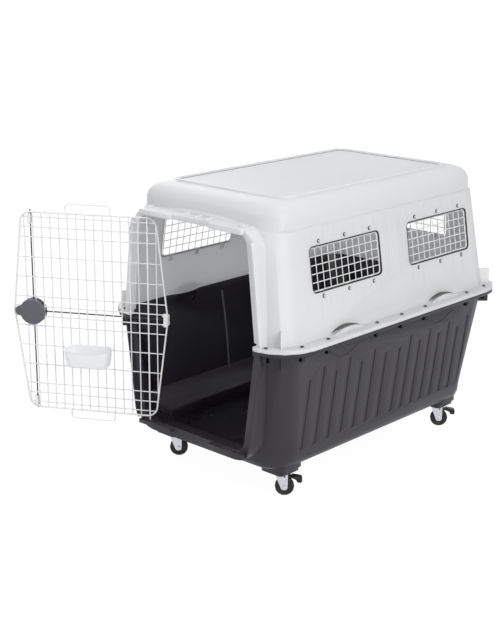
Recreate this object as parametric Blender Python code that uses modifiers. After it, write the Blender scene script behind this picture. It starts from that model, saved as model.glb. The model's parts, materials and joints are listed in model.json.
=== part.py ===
# Dog travel crate: a moulded tray and canopy bolted together at a flange, five
# welded wire grilles, a wire door that swings on its hinge wire and locks with
# four bolts, a hook-on bowl, and four braked swivel casters.
# Metres, +Z up. The door faces -Y and stands open. The origin is the middle of
# the tray's underside.

import bpy
import bmesh
from math import atan, cos, pi, radians, sin
from mathutils import Matrix, Vector

# Shell outline, as half sizes across (x) and along (y)
seam_z = 0.367
flange_half_x = 0.361
flange_half_y = 0.525
flange_radius = 0.115
flange_thick = 0.010
wall_half_x = 0.320
wall_half_y = 0.495
wall_radius = 0.075
canopy_side_lean = 0.049
canopy_end_lean = 0.022
crease_z = 0.675
crease_radius = 0.070
crease_groove = 0.003
shoulder_setback = 0.012
shoulder_steps = 5
shoulder_fullness = 0.75
brow_lift = 0.020
brow_steps = 6
roof_z = 0.7525
roof_half_x = 0.207
roof_half_y = 0.375
roof_radius = 0.030
roof_border_height = 0.005
roof_border_width = 0.006
tray_side_lean = 0.040
tray_end_lean = 0.029
heel_z = 0.060
heel_radius = 0.085
heel_rounding = 0.024
sole_inset = 0.022
wall_thick = 0.004
fit_gap = 0.0003
cut_overlap = 0.001
trim_overlap = 0.010
corner_steps = 4

# Doorway, six-sided and widest at the seam, in a frame that stands proud of the wall
door_half_width = 0.232
door_top_width = 0.200
door_foot_width = 0.193
door_height = 0.588
door_corner_radius = 0.030
door_clearance = 0.0035
sill_clearance = 0.011
frame_border = 0.030
frame_face_y = -0.509
frame_back_y = -0.440
rim_thick = 0.005
rim_proud = 0.010
lintel_border = 0.014
sill_border = 0.030
shelf_half = 0.194
shelf_depth = 0.012
shelf_back_y = -0.462
ledge_half = 0.204
ledge_depth = 0.019
ledge_thick = 0.012
loop_gap_half = 0.076
strike_reach = 0.024
strike_half_height = 0.012
strike_front_y = -0.5235
pin_depth = 0.0065
pin_clearance = 0.0008

# Wire door
wire_radius = 0.0016
border_radius = 0.0025
hinge_wire_radius = 0.0023
weld_depth = 0.0003
door_plane_y = -0.511
door_open_angle = 150.0
upright_count = 16
first_upright_inset = 0.0314
last_upright_inset = 0.0411
hinge_upright = 1
rung_half_pitches = (0.5, 1.5, 2.5, 4.5, 6.5, 8.5, 9.5, 10.5, 11.5, 13.5, 15.5, 17.5, 18.5, 19.5)
rung_steps = 20
loop_half_width = 0.067
loop_height = 0.027
loop_corner = 0.010

# Latch with four bolts
bolt_radius = 0.002
bolt_gap = 0.0005
bolt_rest_proud = 0.006
side_bolt_rest_proud = 0.002
bolt_root = 0.012
latch_radius = 0.0385
latch_edge = 0.003
cover_depth = 0.010
lobe_radius = 0.015
lobe_depth = 0.004
case_depth = 0.012
case_wall = 0.0025
knob_radius = 0.026
knob_depth = 0.004
knob_grip_width = 0.011
knob_grip_depth = 0.012
shaft_radius = 0.006
shaft_depth = 0.006
guide_width = 0.010
guide_length = 0.030
guide_wall = 0.0022
guide_inset = 0.004

# Bowl, hooked over a rung on the inner side of the door
bowl_upright = 7.5
bowl_rung = 6.5
bowl_rim_above_rung = 0.014
bowl_top_half = 0.070
bowl_foot_half = 0.060
bowl_depth = 0.076
bowl_foot_depth = 0.058
bowl_height = 0.051
bowl_corner = 0.022
bowl_wall = 0.0025
bowl_rim_width = 0.005
bowl_rim_thick = 0.003
hook_pitches = 1
hook_width = 0.010
hook_thick = 0.0025
hook_drop = 0.010

# Window grilles
window_shift_y = 0.022
window_spread_y = 0.217
window_center_z = 0.5605
window_half_length = 0.152
window_half_height = 0.0625
window_radius = 0.014
grille_margin = 0.004
grille_columns = 11
grille_rows = 5
grille_frame_radius = 0.002
grille_wire_radius = 0.0014
tab_spacing = 0.110
tab_half_width = 0.007
tab_reach = 0.020
tab_thick = 0.0015

# Flutes pressed into the tray's sides, alternately tall and short
front_flute_count = 7
front_flute_start = -0.359
front_flute_pitch = 0.0567
rear_flute_count = 8
rear_flute_start = 0.048
rear_flute_pitch = 0.0492
flute_width = 0.026
flute_depth = 0.0024
flute_low_z = 0.056
flute_short_z = 0.262
flute_tall_z = 0.287

# Hand grips, gussets and shell bolts along the flange
grip_center_y = 0.2275
grip_length = 0.150
grip_depth = 0.014
grip_height = 0.030
lip_gap = 0.009
lip_thick = 0.006
lip_height = 0.014
gusset_height_above = 0.054
gusset_height_below = 0.052
gusset_reach = 0.023
gusset_thick = 0.005
shell_bolt_x = 0.340
shell_bolt_ys = (-0.330, -0.115, 0.0, 0.115, 0.330)
shell_bolt_corner_x = 0.335
shell_bolt_corner_y = 0.432
shell_bolt_end_gap = 0.010
shell_bolt_end_y = 0.509
shell_bolt_radius = 0.003
shell_bolt_head_radius = 0.0055
shell_bolt_head_height = 0.003
shell_bolt_nut_height = 0.005

# Casters under four feet
caster_x = 0.2137
caster_y = 0.376
foot_half = 0.047
foot_step = 0.007
foot_step_height = 0.012
foot_radius = 0.018
foot_drop = 0.024
foot_top = 0.020
caster_height = 0.076
caster_yaw = 42.8
plate_half = 0.026
plate_thick = 0.003
race_radius = 0.017
race_height = 0.005
crown_thick = 0.0025
wheel_radius = 0.0275
wheel_width = 0.020
tread_round = 0.004
hub_radius = 0.0125
hub_dish = 0.002
axle_radius = 0.003
axle_head_radius = 0.0055
axle_head_height = 0.002
caster_trail = 0.013
fork_gap = 0.0015
fork_thick = 0.0025
fork_lead = 0.014
fork_tail = 0.009
fork_axle_half = 0.0085
fork_foot_radius = 0.0075
pedal_pin_radius = 0.002
pedal_pin_drop = 0.0055
pedal_length = 0.050
pedal_slope = 0.010
pedal_thick = 0.004
pedal_tip_thick = 0.010
pedal_nose = 0.004

crease_half_x = wall_half_x - canopy_side_lean
crease_half_y = wall_half_y - canopy_end_lean
heel_half_x = wall_half_x - tray_side_lean
heel_half_y = wall_half_y - tray_end_lean
shell_bolt_end_x = door_half_width + door_clearance + frame_border + shell_bolt_end_gap
upright_pitch = (2 * door_half_width - first_upright_inset - last_upright_inset) / (upright_count - 1)
door_foot_z = seam_z - door_height / 2
door_top_z = seam_z + door_height / 2
rung_pitch = door_height / rung_steps
first_upright_x = first_upright_inset - door_half_width
hinge_x = first_upright_x + hinge_upright * upright_pitch
latch_x = -hinge_x
sill_z = door_foot_z - sill_clearance
lintel_z = door_top_z + sill_clearance
layer_y = wire_radius - weld_depth / 2
layer_face_y = layer_y + wire_radius + fit_gap
bolt_plane_y = -(layer_y + wire_radius + bolt_gap + bolt_radius)


def clear_scene():
    for item in list(bpy.data.objects):
        bpy.data.objects.remove(item, do_unlink=True)


def new_collection(name):
    group = bpy.data.collections.new(name)
    bpy.context.scene.collection.children.link(group)
    return group


def make_material(name, color, roughness, metallic=0.0):
    mat = bpy.data.materials.new(name)
    mat.use_nodes = True
    shader = mat.node_tree.nodes["Principled BSDF"]
    shader.inputs["Base Color"].default_value = (*color, 1.0)
    shader.inputs["Roughness"].default_value = roughness
    shader.inputs["Metallic"].default_value = metallic
    mat.diffuse_color = (*color, 1.0)
    return mat


def place(obj, group, parent=None, location=(0, 0, 0), rotation=(0, 0, 0)):
    group.objects.link(obj)
    obj.location = location
    obj.rotation_euler = rotation
    obj.parent = parent
    return obj


def object_from(bm, name):
    bmesh.ops.recalc_face_normals(bm, faces=bm.faces)
    mesh = bpy.data.meshes.new(name)
    bm.to_mesh(mesh)
    bm.free()
    return bpy.data.objects.new(name, mesh)


def finish_part(obj, mat, smooth_angle=35):
    obj.data.materials.clear()
    obj.data.materials.append(mat)
    obj.data.shade_smooth()
    obj.data.set_sharp_from_angle(angle=radians(smooth_angle))


def evaluated_mesh(obj):
    bpy.context.view_layer.update()
    graph = bpy.context.evaluated_depsgraph_get()
    return bpy.data.meshes.new_from_object(obj.evaluated_get(graph))


# Each Boolean tool stays in the cutters' collection, hidden from renders
def carve(body, steps, scraps):
    for operation, tool in steps:
        scraps.objects.link(tool)
        tool.hide_render = True
        tool.display_type = "WIRE"
        step = body.modifiers.new(tool.name, "BOOLEAN")
        step.operation = operation
        step.object = tool
        step.solver = "EXACT"
    return body


# A piece that is used several times is carved once and keeps only its mesh
def carved_mesh(body, steps, scraps):
    scraps.objects.link(body)
    carve(body, steps, scraps)
    mesh = evaluated_mesh(body)
    bpy.data.objects.remove(body)
    for operation, tool in steps:
        bpy.data.objects.remove(tool)
    return mesh


# Outlines are lists of (u, v) points, counter-clockwise
def rounded_outline(points, radius, steps=4):
    outline = []
    count = len(points)
    for index, point in enumerate(points):
        corner = Vector(point)
        before = (Vector(points[index - 1]) - corner).normalized()
        after = (Vector(points[(index + 1) % count]) - corner).normalized()
        half_angle = before.angle(after) / 2
        size = radius[index] if isinstance(radius, (list, tuple)) else radius
        if size <= 0:
            outline.append(tuple(corner))
            continue
        reach = size * cos(half_angle) / sin(half_angle)
        center = corner + (before + after).normalized() * (size / sin(half_angle))
        start = corner + before * reach - center
        finish = corner + after * reach - center
        sweep = start.angle_signed(finish)
        for step in range(steps + 1):
            turn = Matrix.Rotation(-sweep * step / steps, 2)
            outline.append(tuple(center + turn @ start))
    return outline


def rectangle(half_u, half_v, center=(0, 0)):
    u, v = center
    low_u, high_u = u - half_u, u + half_u
    low_v, high_v = v - half_v, v + half_v
    return [(low_u, low_v), (high_u, low_v), (high_u, high_v), (low_u, high_v)]


def rounded_ring(half_x, half_y, radius, z, center=(0, 0), steps=corner_steps):
    outline = rounded_outline(rectangle(half_x, half_y, center), radius, steps)
    return [(x, y, z) for x, y in outline]


def loft(rings, name):
    bm = bmesh.new()
    layers = [[bm.verts.new(point) for point in ring] for ring in rings]
    count = len(rings[0])
    for lower, upper in zip(layers, layers[1:]):
        for index in range(count):
            after = (index + 1) % count
            bm.faces.new((lower[index], lower[after], upper[after], upper[index]))
    bm.faces.new(layers[0])
    bm.faces.new(layers[-1])
    return object_from(bm, name)


def box(low, high, name):
    size = [top - bottom for bottom, top in zip(low, high)]
    middle = [(top + bottom) / 2 for bottom, top in zip(low, high)]
    bm = bmesh.new()
    bmesh.ops.create_cube(bm, size=1)
    bmesh.ops.scale(bm, vec=size, verts=bm.verts)
    bmesh.ops.translate(bm, vec=middle, verts=bm.verts)
    return object_from(bm, name)


def cylinder(radius, start, finish, name, sides=8):
    axis = Vector(finish) - Vector(start)
    middle = Matrix.Translation((Vector(start) + Vector(finish)) / 2)
    turn = axis.to_track_quat("Z", "Y").to_matrix().to_4x4()
    bm = bmesh.new()
    bmesh.ops.create_cone(
        bm,
        cap_ends=True,
        segments=sides,
        radius1=radius,
        radius2=radius,
        depth=axis.length,
        matrix=middle @ turn,
    )
    return object_from(bm, name)


# The corner radius of a many-sided hole whose flats clear a round pin
def around(pin_radius, sides):
    return (pin_radius + fit_gap) / cos(pi / sides)


def mesh_from_curve(data, name):
    curve = bpy.data.objects.new(name + "_path", data)
    bpy.context.scene.collection.objects.link(curve)
    mesh = evaluated_mesh(curve)
    bpy.data.objects.remove(curve)
    bm = bmesh.new()
    bm.from_mesh(mesh)
    bmesh.ops.remove_doubles(bm, verts=bm.verts, dist=0.00001)
    return bm


def add_spline(data, points, closed):
    spline = data.splines.new("POLY")
    spline.points.add(len(points) - 1)
    for target, point in zip(spline.points, points):
        target.co = (*point, 1)
    spline.use_cyclic_u = closed


# A flat outline with a thickness along one axis: "x" reads it as (y, z), "y" as (x, z)
def prism(outline, axis, start, end, name):
    data = bpy.data.curves.new(name, "CURVE")
    data.dimensions = "2D"
    data.fill_mode = "BOTH"
    data.extrude = abs(end - start) / 2
    add_spline(data, [(u, v, 0) for u, v in outline], True)
    bm = mesh_from_curve(data, name)
    middle = (start + end) / 2
    turns = {
        "x": Matrix(((0, 0, 1, middle), (1, 0, 0, 0), (0, 1, 0, 0), (0, 0, 0, 1))),
        "y": Matrix(((1, 0, 0, 0), (0, 0, -1, middle), (0, 1, 0, 0), (0, 0, 0, 1))),
        "z": Matrix.Translation((0, 0, middle)),
    }
    bm.transform(turns[axis])
    return object_from(bm, name)


# Wires: poly curves with a round section, turned into one mesh with welded caps
def wires(paths, radius, name, closed=False, resolution=1):
    data = bpy.data.curves.new(name, "CURVE")
    data.dimensions = "3D"
    data.bevel_depth = radius
    data.bevel_resolution = resolution
    data.use_fill_caps = not closed
    for points in paths:
        add_spline(data, points, closed)
    return object_from(mesh_from_curve(data, name), name)


def merged(objects, name):
    bm = bmesh.new()
    for obj in objects:
        bm.from_mesh(obj.data)
        bpy.data.objects.remove(obj)
    return object_from(bm, name)


def moved(obj, matrix):
    obj.data.transform(matrix)
    return obj


# A turned shape: (radius, height) points down its outer side, spun about Z
def turned(profile, segments, name, closed=False):
    bm = bmesh.new()
    verts = [bm.verts.new((radius, 0, height)) for radius, height in profile]
    for first, second in zip(verts, verts[1:]):
        bm.edges.new((first, second))
    if closed:
        bm.edges.new((verts[-1], verts[0]))
    mesh = bpy.data.meshes.new(name)
    bm.to_mesh(mesh)
    bm.free()
    obj = bpy.data.objects.new(name, mesh)
    screw = obj.modifiers.new("Spin", "SCREW")
    screw.axis = "Z"
    screw.steps = segments
    screw.render_steps = segments
    screw.use_merge_vertices = True
    screw.merge_threshold = 0.00001
    screw.use_smooth_shade = True
    return obj


# Where a line across an outline meets it: axis 0 fixes u, axis 1 fixes v
def crossings(outline, axis, value):
    hits = []
    for first, second in zip(outline, outline[1:] + outline[:1]):
        before = first[axis] - value
        after = second[axis] - value
        if before * after < 0:
            share = before / (before - after)
            hits.append(first[1 - axis] + share * (second[1 - axis] - first[1 - axis]))
    return min(hits), max(hits)


# Doorway: half width at a height, and the outline above or below the seam with its borders
def doorway_half_width(z):
    rise = (z - seam_z) / (door_height / 2)
    end_width = door_top_width if rise > 0 else door_foot_width
    return door_half_width + (end_width - door_half_width) * abs(rise)


def doorway_outline(side, side_border, end_border, past_seam=trim_overlap):
    end_z = seam_z + side * (door_height / 2 + end_border)
    past_z = seam_z - side * past_seam
    seam_width = door_half_width + side_border
    end_width = doorway_half_width(end_z) + side_border
    right = [(seam_width, past_z), (seam_width, seam_z), (end_width, end_z)]
    left = [(-u, v) for u, v in reversed(right)]
    radius = door_corner_radius + side_border
    corners = right + left
    sizes = [0, 0, radius, radius, 0, 0]
    if side < 0:
        corners.reverse()
        sizes.reverse()
    return rounded_outline(corners, sizes)


# Shell sections, each (half x, half y, corner radius, height, rise of the brow over the doorway)
def canopy_sections():
    crown = roof_z - roof_border_height
    edge_x = roof_half_x + roof_border_width + cut_overlap
    edge_y = roof_half_y + roof_border_width + cut_overlap
    edge_radius = roof_radius + roof_border_width + cut_overlap
    setback_y = crease_half_y - shoulder_setback
    shoulder_z = crease_z + crease_groove
    groove_x = crease_half_x - crease_groove
    groove_y = crease_half_y - crease_groove
    sections = [
        (wall_half_x, wall_half_y, wall_radius, seam_z - trim_overlap, 0),
        (wall_half_x, wall_half_y, wall_radius, seam_z, 0),
        (crease_half_x, crease_half_y, crease_radius, crease_z - crease_groove, brow_lift),
        (groove_x, groove_y, crease_radius, crease_z, brow_lift),
    ]
    for step in range(shoulder_steps + 1):
        share = step / shoulder_steps
        spread = max(cos(pi / 2 * share), 0) ** shoulder_fullness
        rise = sin(pi / 2 * share) ** shoulder_fullness
        sections.append(
            (
                edge_x + (crease_half_x - edge_x) * spread,
                edge_y + (setback_y - edge_y) * spread,
                crease_radius + (edge_radius - crease_radius) * share,
                shoulder_z + (crown - shoulder_z) * rise,
                brow_lift * (1 - rise),
            )
        )
    return sections


def tray_sections():
    middle_inset = sole_inset / 2
    middle_radius = heel_radius - middle_inset
    side = heel_half_x - crease_groove
    end = heel_half_y - crease_groove
    return [
        (heel_half_x - sole_inset, heel_half_y - sole_inset, heel_radius - sole_inset, 0, 0),
        (heel_half_x - middle_inset, heel_half_y - middle_inset, middle_radius, heel_rounding / 3, 0),
        (side, end, heel_radius, heel_rounding, 0),
        (heel_half_x, heel_half_y, heel_radius, heel_z, 0),
        (wall_half_x, wall_half_y, wall_radius, seam_z, 0),
        (wall_half_x, wall_half_y, wall_radius, seam_z + trim_overlap, 0),
    ]


# A section's ring, with points along its front edge where the brow rises
def shell_ring(half_x, half_y, radius, z, lift, front_steps):
    ring = rounded_ring(half_x, half_y, radius, z)
    start = corner_steps
    left_x = ring[start][0]
    right_x = ring[start + 1][0]
    front = []
    for step in range(1, front_steps):
        share = step / front_steps
        front.append((left_x + (right_x - left_x) * share, -half_y, z + lift * sin(pi * share)))
    return ring[: start + 1] + front + ring[start + 1 :]


def shell_loft(sections, front_steps, name):
    return loft([shell_ring(*section, front_steps) for section in sections], name)


# The hollow keeps the wall's thickness from every section, also under the roof and over the floor
def hollow_loft(sections, side, turn_z, front_steps, name):
    rings = []
    for x, y, radius, z, lift in sections:
        level = z - side * wall_thick if side * (z - turn_z) > 0 else z
        inner = (x - wall_thick, y - wall_thick, radius - wall_thick, level, lift)
        rings.append(shell_ring(*inner, front_steps))
    return loft(rings, name)


# How far a side wall leans in for each metre above or below the seam
def side_slope(side):
    if side > 0:
        return (wall_half_x - crease_half_x) / (crease_z - crease_groove - seam_z)
    return (wall_half_x - heel_half_x) / (seam_z - heel_z)


# Hand grip: a lens pressed into the side wall, deepest at the seam
def grip_tool(side, hand, center_y, extra, name):
    steps = 8
    outside = 2 * trim_overlap
    reach = grip_length / 2 + extra
    levels = (
        (-trim_overlap, grip_depth),
        (flange_thick, grip_depth),
        (flange_thick + grip_height, -cut_overlap),
    )
    rings = []
    for rise, depth in levels:
        wall_x = wall_half_x - side_slope(side) * max(rise, 0)
        ring = [(hand * (wall_x + outside), center_y + reach), (hand * (wall_x + outside), center_y - reach)]
        for step in range(steps + 1):
            share = step / steps
            inward = (depth + extra) * sin(pi * share) - cut_overlap
            ring.append((hand * (wall_x - inward), center_y - reach + 2 * reach * share))
        rings.append([(x, y, seam_z + side * rise) for x, y in ring])
    return loft(rings, name)


def grip_tools(side, extra, name):
    grips = []
    for hand in (-1, 1):
        for center_y in (-grip_center_y, grip_center_y):
            grips.append(grip_tool(side, hand, center_y, extra, name))
    return merged(grips, name)


# An arched lip on the canopy's flange outside each hand grip
def grip_lips(name):
    steps = 8
    reach = grip_length / 2
    low = seam_z + flange_thick / 2
    inner_x = wall_half_x + lip_gap
    outline = []
    for step in range(steps + 1):
        share = step / steps
        rise = flange_thick - cut_overlap + (lip_height + cut_overlap) * sin(pi * share)
        outline.append((reach - 2 * reach * share, seam_z + rise))
    lips = []
    for center_y in (-grip_center_y, grip_center_y):
        points = [(center_y - reach, low), (center_y + reach, low)]
        points += [(center_y + y, z) for y, z in outline]
        for start, end in ((inner_x, inner_x + lip_thick), (-inner_x - lip_thick, -inner_x)):
            lips.append(prism(points, "x", start, end, name))
    return merged(lips, name)


# Flutes: shallow wedges pressed into the tray's sides, deepest at their rear edge
def flute_spots():
    spots = []
    for count, start, pitch in (
        (front_flute_count, front_flute_start, front_flute_pitch),
        (rear_flute_count, rear_flute_start, rear_flute_pitch),
    ):
        for index in range(count):
            spots.append((start + index * pitch, flute_tall_z if index % 2 else flute_short_z))
    return spots


def flute_tools(name):
    flutes = []
    for hand in (-1, 1):
        for y, top_z in flute_spots():
            rings = []
            for z in (flute_low_z, top_z):
                wall_x = wall_half_x - side_slope(-1) * (seam_z - z)
                corners = (
                    (wall_x + cut_overlap, y - flute_width),
                    (wall_x - flute_depth, y),
                    (wall_x + trim_overlap, y),
                )
                rings.append([(hand * x, v, z) for x, v in corners])
            flutes.append(loft(rings, name))
    return merged(flutes, name)


# Diagonal gussets between the flange and each corner of the wall
def gussets(side, name):
    height = gusset_height_above if side > 0 else gusset_height_below
    lean = side_slope(side) * height
    root = wall_thick / 2
    outline = [
        (-root, seam_z),
        (gusset_reach, seam_z),
        (gusset_reach, seam_z + side * height),
        (-lean - root, seam_z + side * height),
    ]
    diagonal = wall_radius * sin(pi / 4)
    corner_x = wall_half_x - wall_radius + diagonal
    corner_y = wall_half_y - wall_radius + diagonal
    fins = []
    for hand_x, hand_y, angle in ((1, 1, 45), (-1, 1, 135), (-1, -1, 225), (1, -1, 315)):
        fin = prism(outline, "y", -gusset_thick / 2, gusset_thick / 2, name)
        spot = Matrix.Translation((hand_x * corner_x, hand_y * corner_y, 0))
        fins.append(moved(fin, spot @ Matrix.Rotation(radians(angle), 4, "Z")))
    return merged(fins, name)


def flange_tool(side, name):
    outline = rounded_outline(rectangle(flange_half_x, flange_half_y), flange_radius, corner_steps)
    return prism(outline, "z", seam_z - side * trim_overlap, seam_z + side * flange_thick, name)


def shell_bolt_spots():
    spots = [(hand * shell_bolt_x, y) for hand in (-1, 1) for y in shell_bolt_ys]
    for hand in (-1, 1):
        for end in (-1, 1):
            spots.append((hand * shell_bolt_corner_x, end * shell_bolt_corner_y))
            spots.append((hand * shell_bolt_end_x, end * shell_bolt_end_y))
    spots.append((0, shell_bolt_end_y))
    return spots


def shell_bolt_holes(name):
    radius = around(shell_bolt_radius, 6)
    low = seam_z - 2 * flange_thick
    high = seam_z + 2 * flange_thick
    holes = [cylinder(radius, (x, y, low), (x, y, high), name, 6) for x, y in shell_bolt_spots()]
    return merged(holes, name)


# Holes for the hinge pins and the bolts: through the shelf and the ledge, and at the seam in the strikes
def pin_holes(side, name):
    reach = door_height / 2 + sill_clearance
    low = seam_z + side * (reach - trim_overlap)
    high = seam_z + side * (reach + trim_overlap + lintel_border)
    bolt_y = door_plane_y + bolt_plane_y
    hinge_hole = hinge_wire_radius + pin_clearance
    bolt_hole = bolt_radius + pin_clearance
    holes = [
        cylinder(hinge_hole, (hinge_x, door_plane_y, low), (hinge_x, door_plane_y, high), name),
        cylinder(bolt_hole, (latch_x, bolt_y, low), (latch_x, bolt_y, high), name),
    ]
    for hand in (-1, 1):
        start = hand * (door_half_width + door_clearance)
        end = hand * (door_half_width + door_clearance + frame_border - rim_thick / 2)
        holes.append(cylinder(bolt_hole, (start, bolt_y, seam_z), (end, bolt_y, seam_z), name))
    return merged(holes, name)


# The door frame of one shell: the tools that add it and those that open it
def frame_tools(side, end_border, label):
    outer_border = door_clearance + frame_border
    outer_end = sill_clearance + end_border
    past = 2 * trim_overlap
    front_y = frame_face_y - rim_proud
    before_y = strike_front_y - trim_overlap
    outer = doorway_outline(side, outer_border, outer_end)
    recess = doorway_outline(side, outer_border - rim_thick, outer_end + trim_overlap, past)
    hollow = doorway_outline(side, outer_border - wall_thick, outer_end - wall_thick, past)
    opening = doorway_outline(side, door_clearance, sill_clearance, past)
    strike_out = door_half_width + outer_border - rim_thick / 4
    strike_in = door_half_width + outer_border - strike_reach
    low = seam_z - strike_half_height
    high = seam_z + strike_half_height
    strikes = [
        box((strike_in, strike_front_y, low), (strike_out, frame_face_y + wall_thick / 2, high), label),
        box((-strike_out, strike_front_y, low), (-strike_in, frame_face_y + wall_thick / 2, high), label),
    ]
    notch_x = strike_in + fit_gap
    notch = box(
        (-notch_x, before_y, low - rim_thick),
        (notch_x, frame_face_y + 2 * wall_thick, high + rim_thick),
        label + "_notch",
    )
    return {
        "porch": prism(outer, "y", front_y, frame_back_y, label + "_porch"),
        "recess": prism(recess, "y", before_y, frame_face_y, label + "_recess"),
        "hollow": prism(hollow, "y", frame_face_y + wall_thick, frame_back_y + past, label + "_hollow"),
        "opening": prism(opening, "y", before_y, frame_back_y, label + "_opening"),
        "strikes": merged(strikes, label + "_strikes"),
        "notch": notch,
    }


# The flange stops at both sides of the door frame
def flange_stop(side, name):
    half = door_half_width + door_clearance + frame_border - rim_thick / 2
    low = seam_z - 2 * flange_thick
    high = seam_z + 2 * flange_thick
    return box((-half, -flange_half_y - trim_overlap, low), (half, frame_face_y + wall_thick / 2, high), name)


def loop_notch(side, name):
    start = seam_z + side * (door_height / 2)
    end = start + side * (sill_clearance + sill_border + trim_overlap)
    front = frame_face_y - ledge_depth - trim_overlap
    back = frame_face_y + fit_gap
    return box((-loop_gap_half, front, min(start, end)), (loop_gap_half, back, max(start, end)), name)


def window_placements():
    side_lean = atan(side_slope(1))
    end_slope = (wall_half_y - crease_half_y) / (crease_z - crease_groove - seam_z)
    side_x = wall_half_x - side_slope(1) * (window_center_z - seam_z)
    end_y = wall_half_y - end_slope * (window_center_z - seam_z)
    places = {}
    for hand, hand_name in ((1, "right"), (-1, "left")):
        for end, end_name in ((-1, "front"), (1, "rear")):
            spot = (hand * side_x, window_shift_y + end * window_spread_y, window_center_z)
            places["grille_" + hand_name + "_" + end_name] = (spot, (side_lean, 0, radians(-90 * hand)))
    places["grille_rear"] = ((0, end_y, window_center_z), (atan(end_slope), 0, 0))
    return places


def tab_spots():
    return [(u, end) for end in (-1, 1) for u in (-tab_spacing, 0, tab_spacing)]


def window_tools(name):
    outline = rounded_outline(rectangle(window_half_length, window_half_height), window_radius, 3)
    depth = 5 * wall_thick
    tools = []
    for location, rotation in window_placements().values():
        window = prism(outline, "y", -depth, depth, name)
        window.rotation_euler = rotation
        turn = window.rotation_euler.to_matrix().to_4x4()
        tools.append(moved(window, Matrix.Translation(location) @ turn))
        window.rotation_euler = (0, 0, 0)
    return merged(tools, name)


def seam_trim(side, name):
    keep = seam_z + (fit_gap if side > 0 else 0)
    far = seam_z - side * 3 * trim_overlap
    reach_x = flange_half_x + trim_overlap
    reach_y = flange_half_y + trim_overlap
    return box((-reach_x, -reach_y, min(keep, far)), (reach_x, reach_y, max(keep, far)), name)


def build_canopy(group, scraps, mat):
    sections = canopy_sections()
    frame = frame_tools(1, lintel_border, "canopy_frame")
    shelf_front = frame_face_y - shelf_depth
    shelf_low = lintel_z + fit_gap
    shelf_top = lintel_z + lintel_border
    shelf = box((-shelf_half, shelf_front, shelf_low), (shelf_half, shelf_back_y, shelf_top), "shelf")
    roof_panel = rounded_outline(rectangle(roof_half_x, roof_half_y), roof_radius, corner_steps)
    edge_x = roof_half_x + roof_border_width
    edge_y = roof_half_y + roof_border_width
    roof_edge = rounded_outline(rectangle(edge_x, edge_y), roof_radius + roof_border_width, corner_steps)
    crown = roof_z - roof_border_height
    hollow = hollow_loft(sections, 1, crease_z - crease_groove, brow_steps, "canopy_hollow")
    carve(hollow, [("DIFFERENCE", grip_tools(1, wall_thick, "canopy_grip_backs"))], scraps)
    flange = flange_tool(1, "canopy_flange")
    carve(flange, [("DIFFERENCE", flange_stop(1, "canopy_stop"))], scraps)
    steps = [
        ("DIFFERENCE", grip_tools(1, 0, "canopy_grips")),
        ("UNION", flange),
        ("UNION", grip_lips("lips")),
        ("UNION", gussets(1, "canopy_gussets")),
        ("UNION", frame["porch"]),
        ("DIFFERENCE", frame["recess"]),
        ("UNION", shelf),
        ("UNION", prism(roof_edge, "z", crown - wall_thick / 2, roof_z, "roof_border")),
        ("DIFFERENCE", prism(roof_panel, "z", crown, roof_z + trim_overlap, "roof_panel")),
        ("DIFFERENCE", hollow),
        ("DIFFERENCE", frame["hollow"]),
        ("DIFFERENCE", frame["opening"]),
        ("DIFFERENCE", frame["notch"]),
        ("UNION", frame["strikes"]),
        ("DIFFERENCE", loop_notch(1, "canopy_loop_notch")),
        ("DIFFERENCE", window_tools("windows")),
        ("DIFFERENCE", shell_bolt_holes("canopy_bolt_holes")),
        ("DIFFERENCE", pin_holes(1, "canopy_pin_holes")),
        ("DIFFERENCE", seam_trim(1, "canopy_trim")),
    ]
    canopy = shell_loft(sections, brow_steps, "canopy")
    finish_part(canopy, mat)
    place(canopy, group)
    carve(canopy, steps, scraps)


def foot_tool(x, y, name):
    rings = []
    lower_half = foot_half - foot_step
    levels = (
        (lower_half, foot_radius - foot_step, -foot_drop),
        (lower_half, foot_radius - foot_step, -foot_drop + foot_step_height),
        (foot_half, foot_radius, -foot_drop + foot_step_height),
        (foot_half, foot_radius, foot_top),
    )
    for half, radius, z in levels:
        rings.append(rounded_ring(half, half, radius, z, (x, y), 3))
    return loft(rings, name)


def build_tray(group, scraps, mat):
    sections = tray_sections()
    frame = frame_tools(-1, sill_border, "tray_frame")
    ledge_front = frame_face_y - ledge_depth
    ledge_back = frame_face_y + wall_thick / 2
    ledge_top = sill_z - fit_gap
    ledge_low = sill_z - ledge_thick
    ledge = box((-ledge_half, ledge_front, ledge_low), (ledge_half, ledge_back, ledge_top), "ledge")
    feet = [foot_tool(x, y, "feet") for x in (-caster_x, caster_x) for y in (-caster_y, caster_y)]
    hollow = hollow_loft(sections, -1, heel_z - heel_rounding / 2, 1, "tray_hollow")
    carve(hollow, [("DIFFERENCE", grip_tools(-1, wall_thick, "tray_grip_backs"))], scraps)
    flange = flange_tool(-1, "tray_flange")
    carve(flange, [("DIFFERENCE", flange_stop(-1, "tray_stop"))], scraps)
    steps = [
        ("DIFFERENCE", grip_tools(-1, 0, "tray_grips")),
        ("DIFFERENCE", flute_tools("flutes")),
        ("UNION", flange),
        ("UNION", gussets(-1, "tray_gussets")),
        ("UNION", frame["porch"]),
        ("DIFFERENCE", frame["recess"]),
        ("UNION", ledge),
        ("UNION", merged(feet, "feet")),
        ("DIFFERENCE", hollow),
        ("DIFFERENCE", frame["hollow"]),
        ("DIFFERENCE", frame["opening"]),
        ("DIFFERENCE", frame["notch"]),
        ("UNION", frame["strikes"]),
        ("DIFFERENCE", loop_notch(-1, "tray_loop_notch")),
        ("DIFFERENCE", shell_bolt_holes("tray_bolt_holes")),
        ("DIFFERENCE", pin_holes(-1, "tray_pin_holes")),
        ("DIFFERENCE", seam_trim(-1, "tray_trim")),
    ]
    tray = shell_loft(sections, 1, "tray")
    finish_part(tray, mat)
    place(tray, group)
    carve(tray, steps, scraps)


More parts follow.
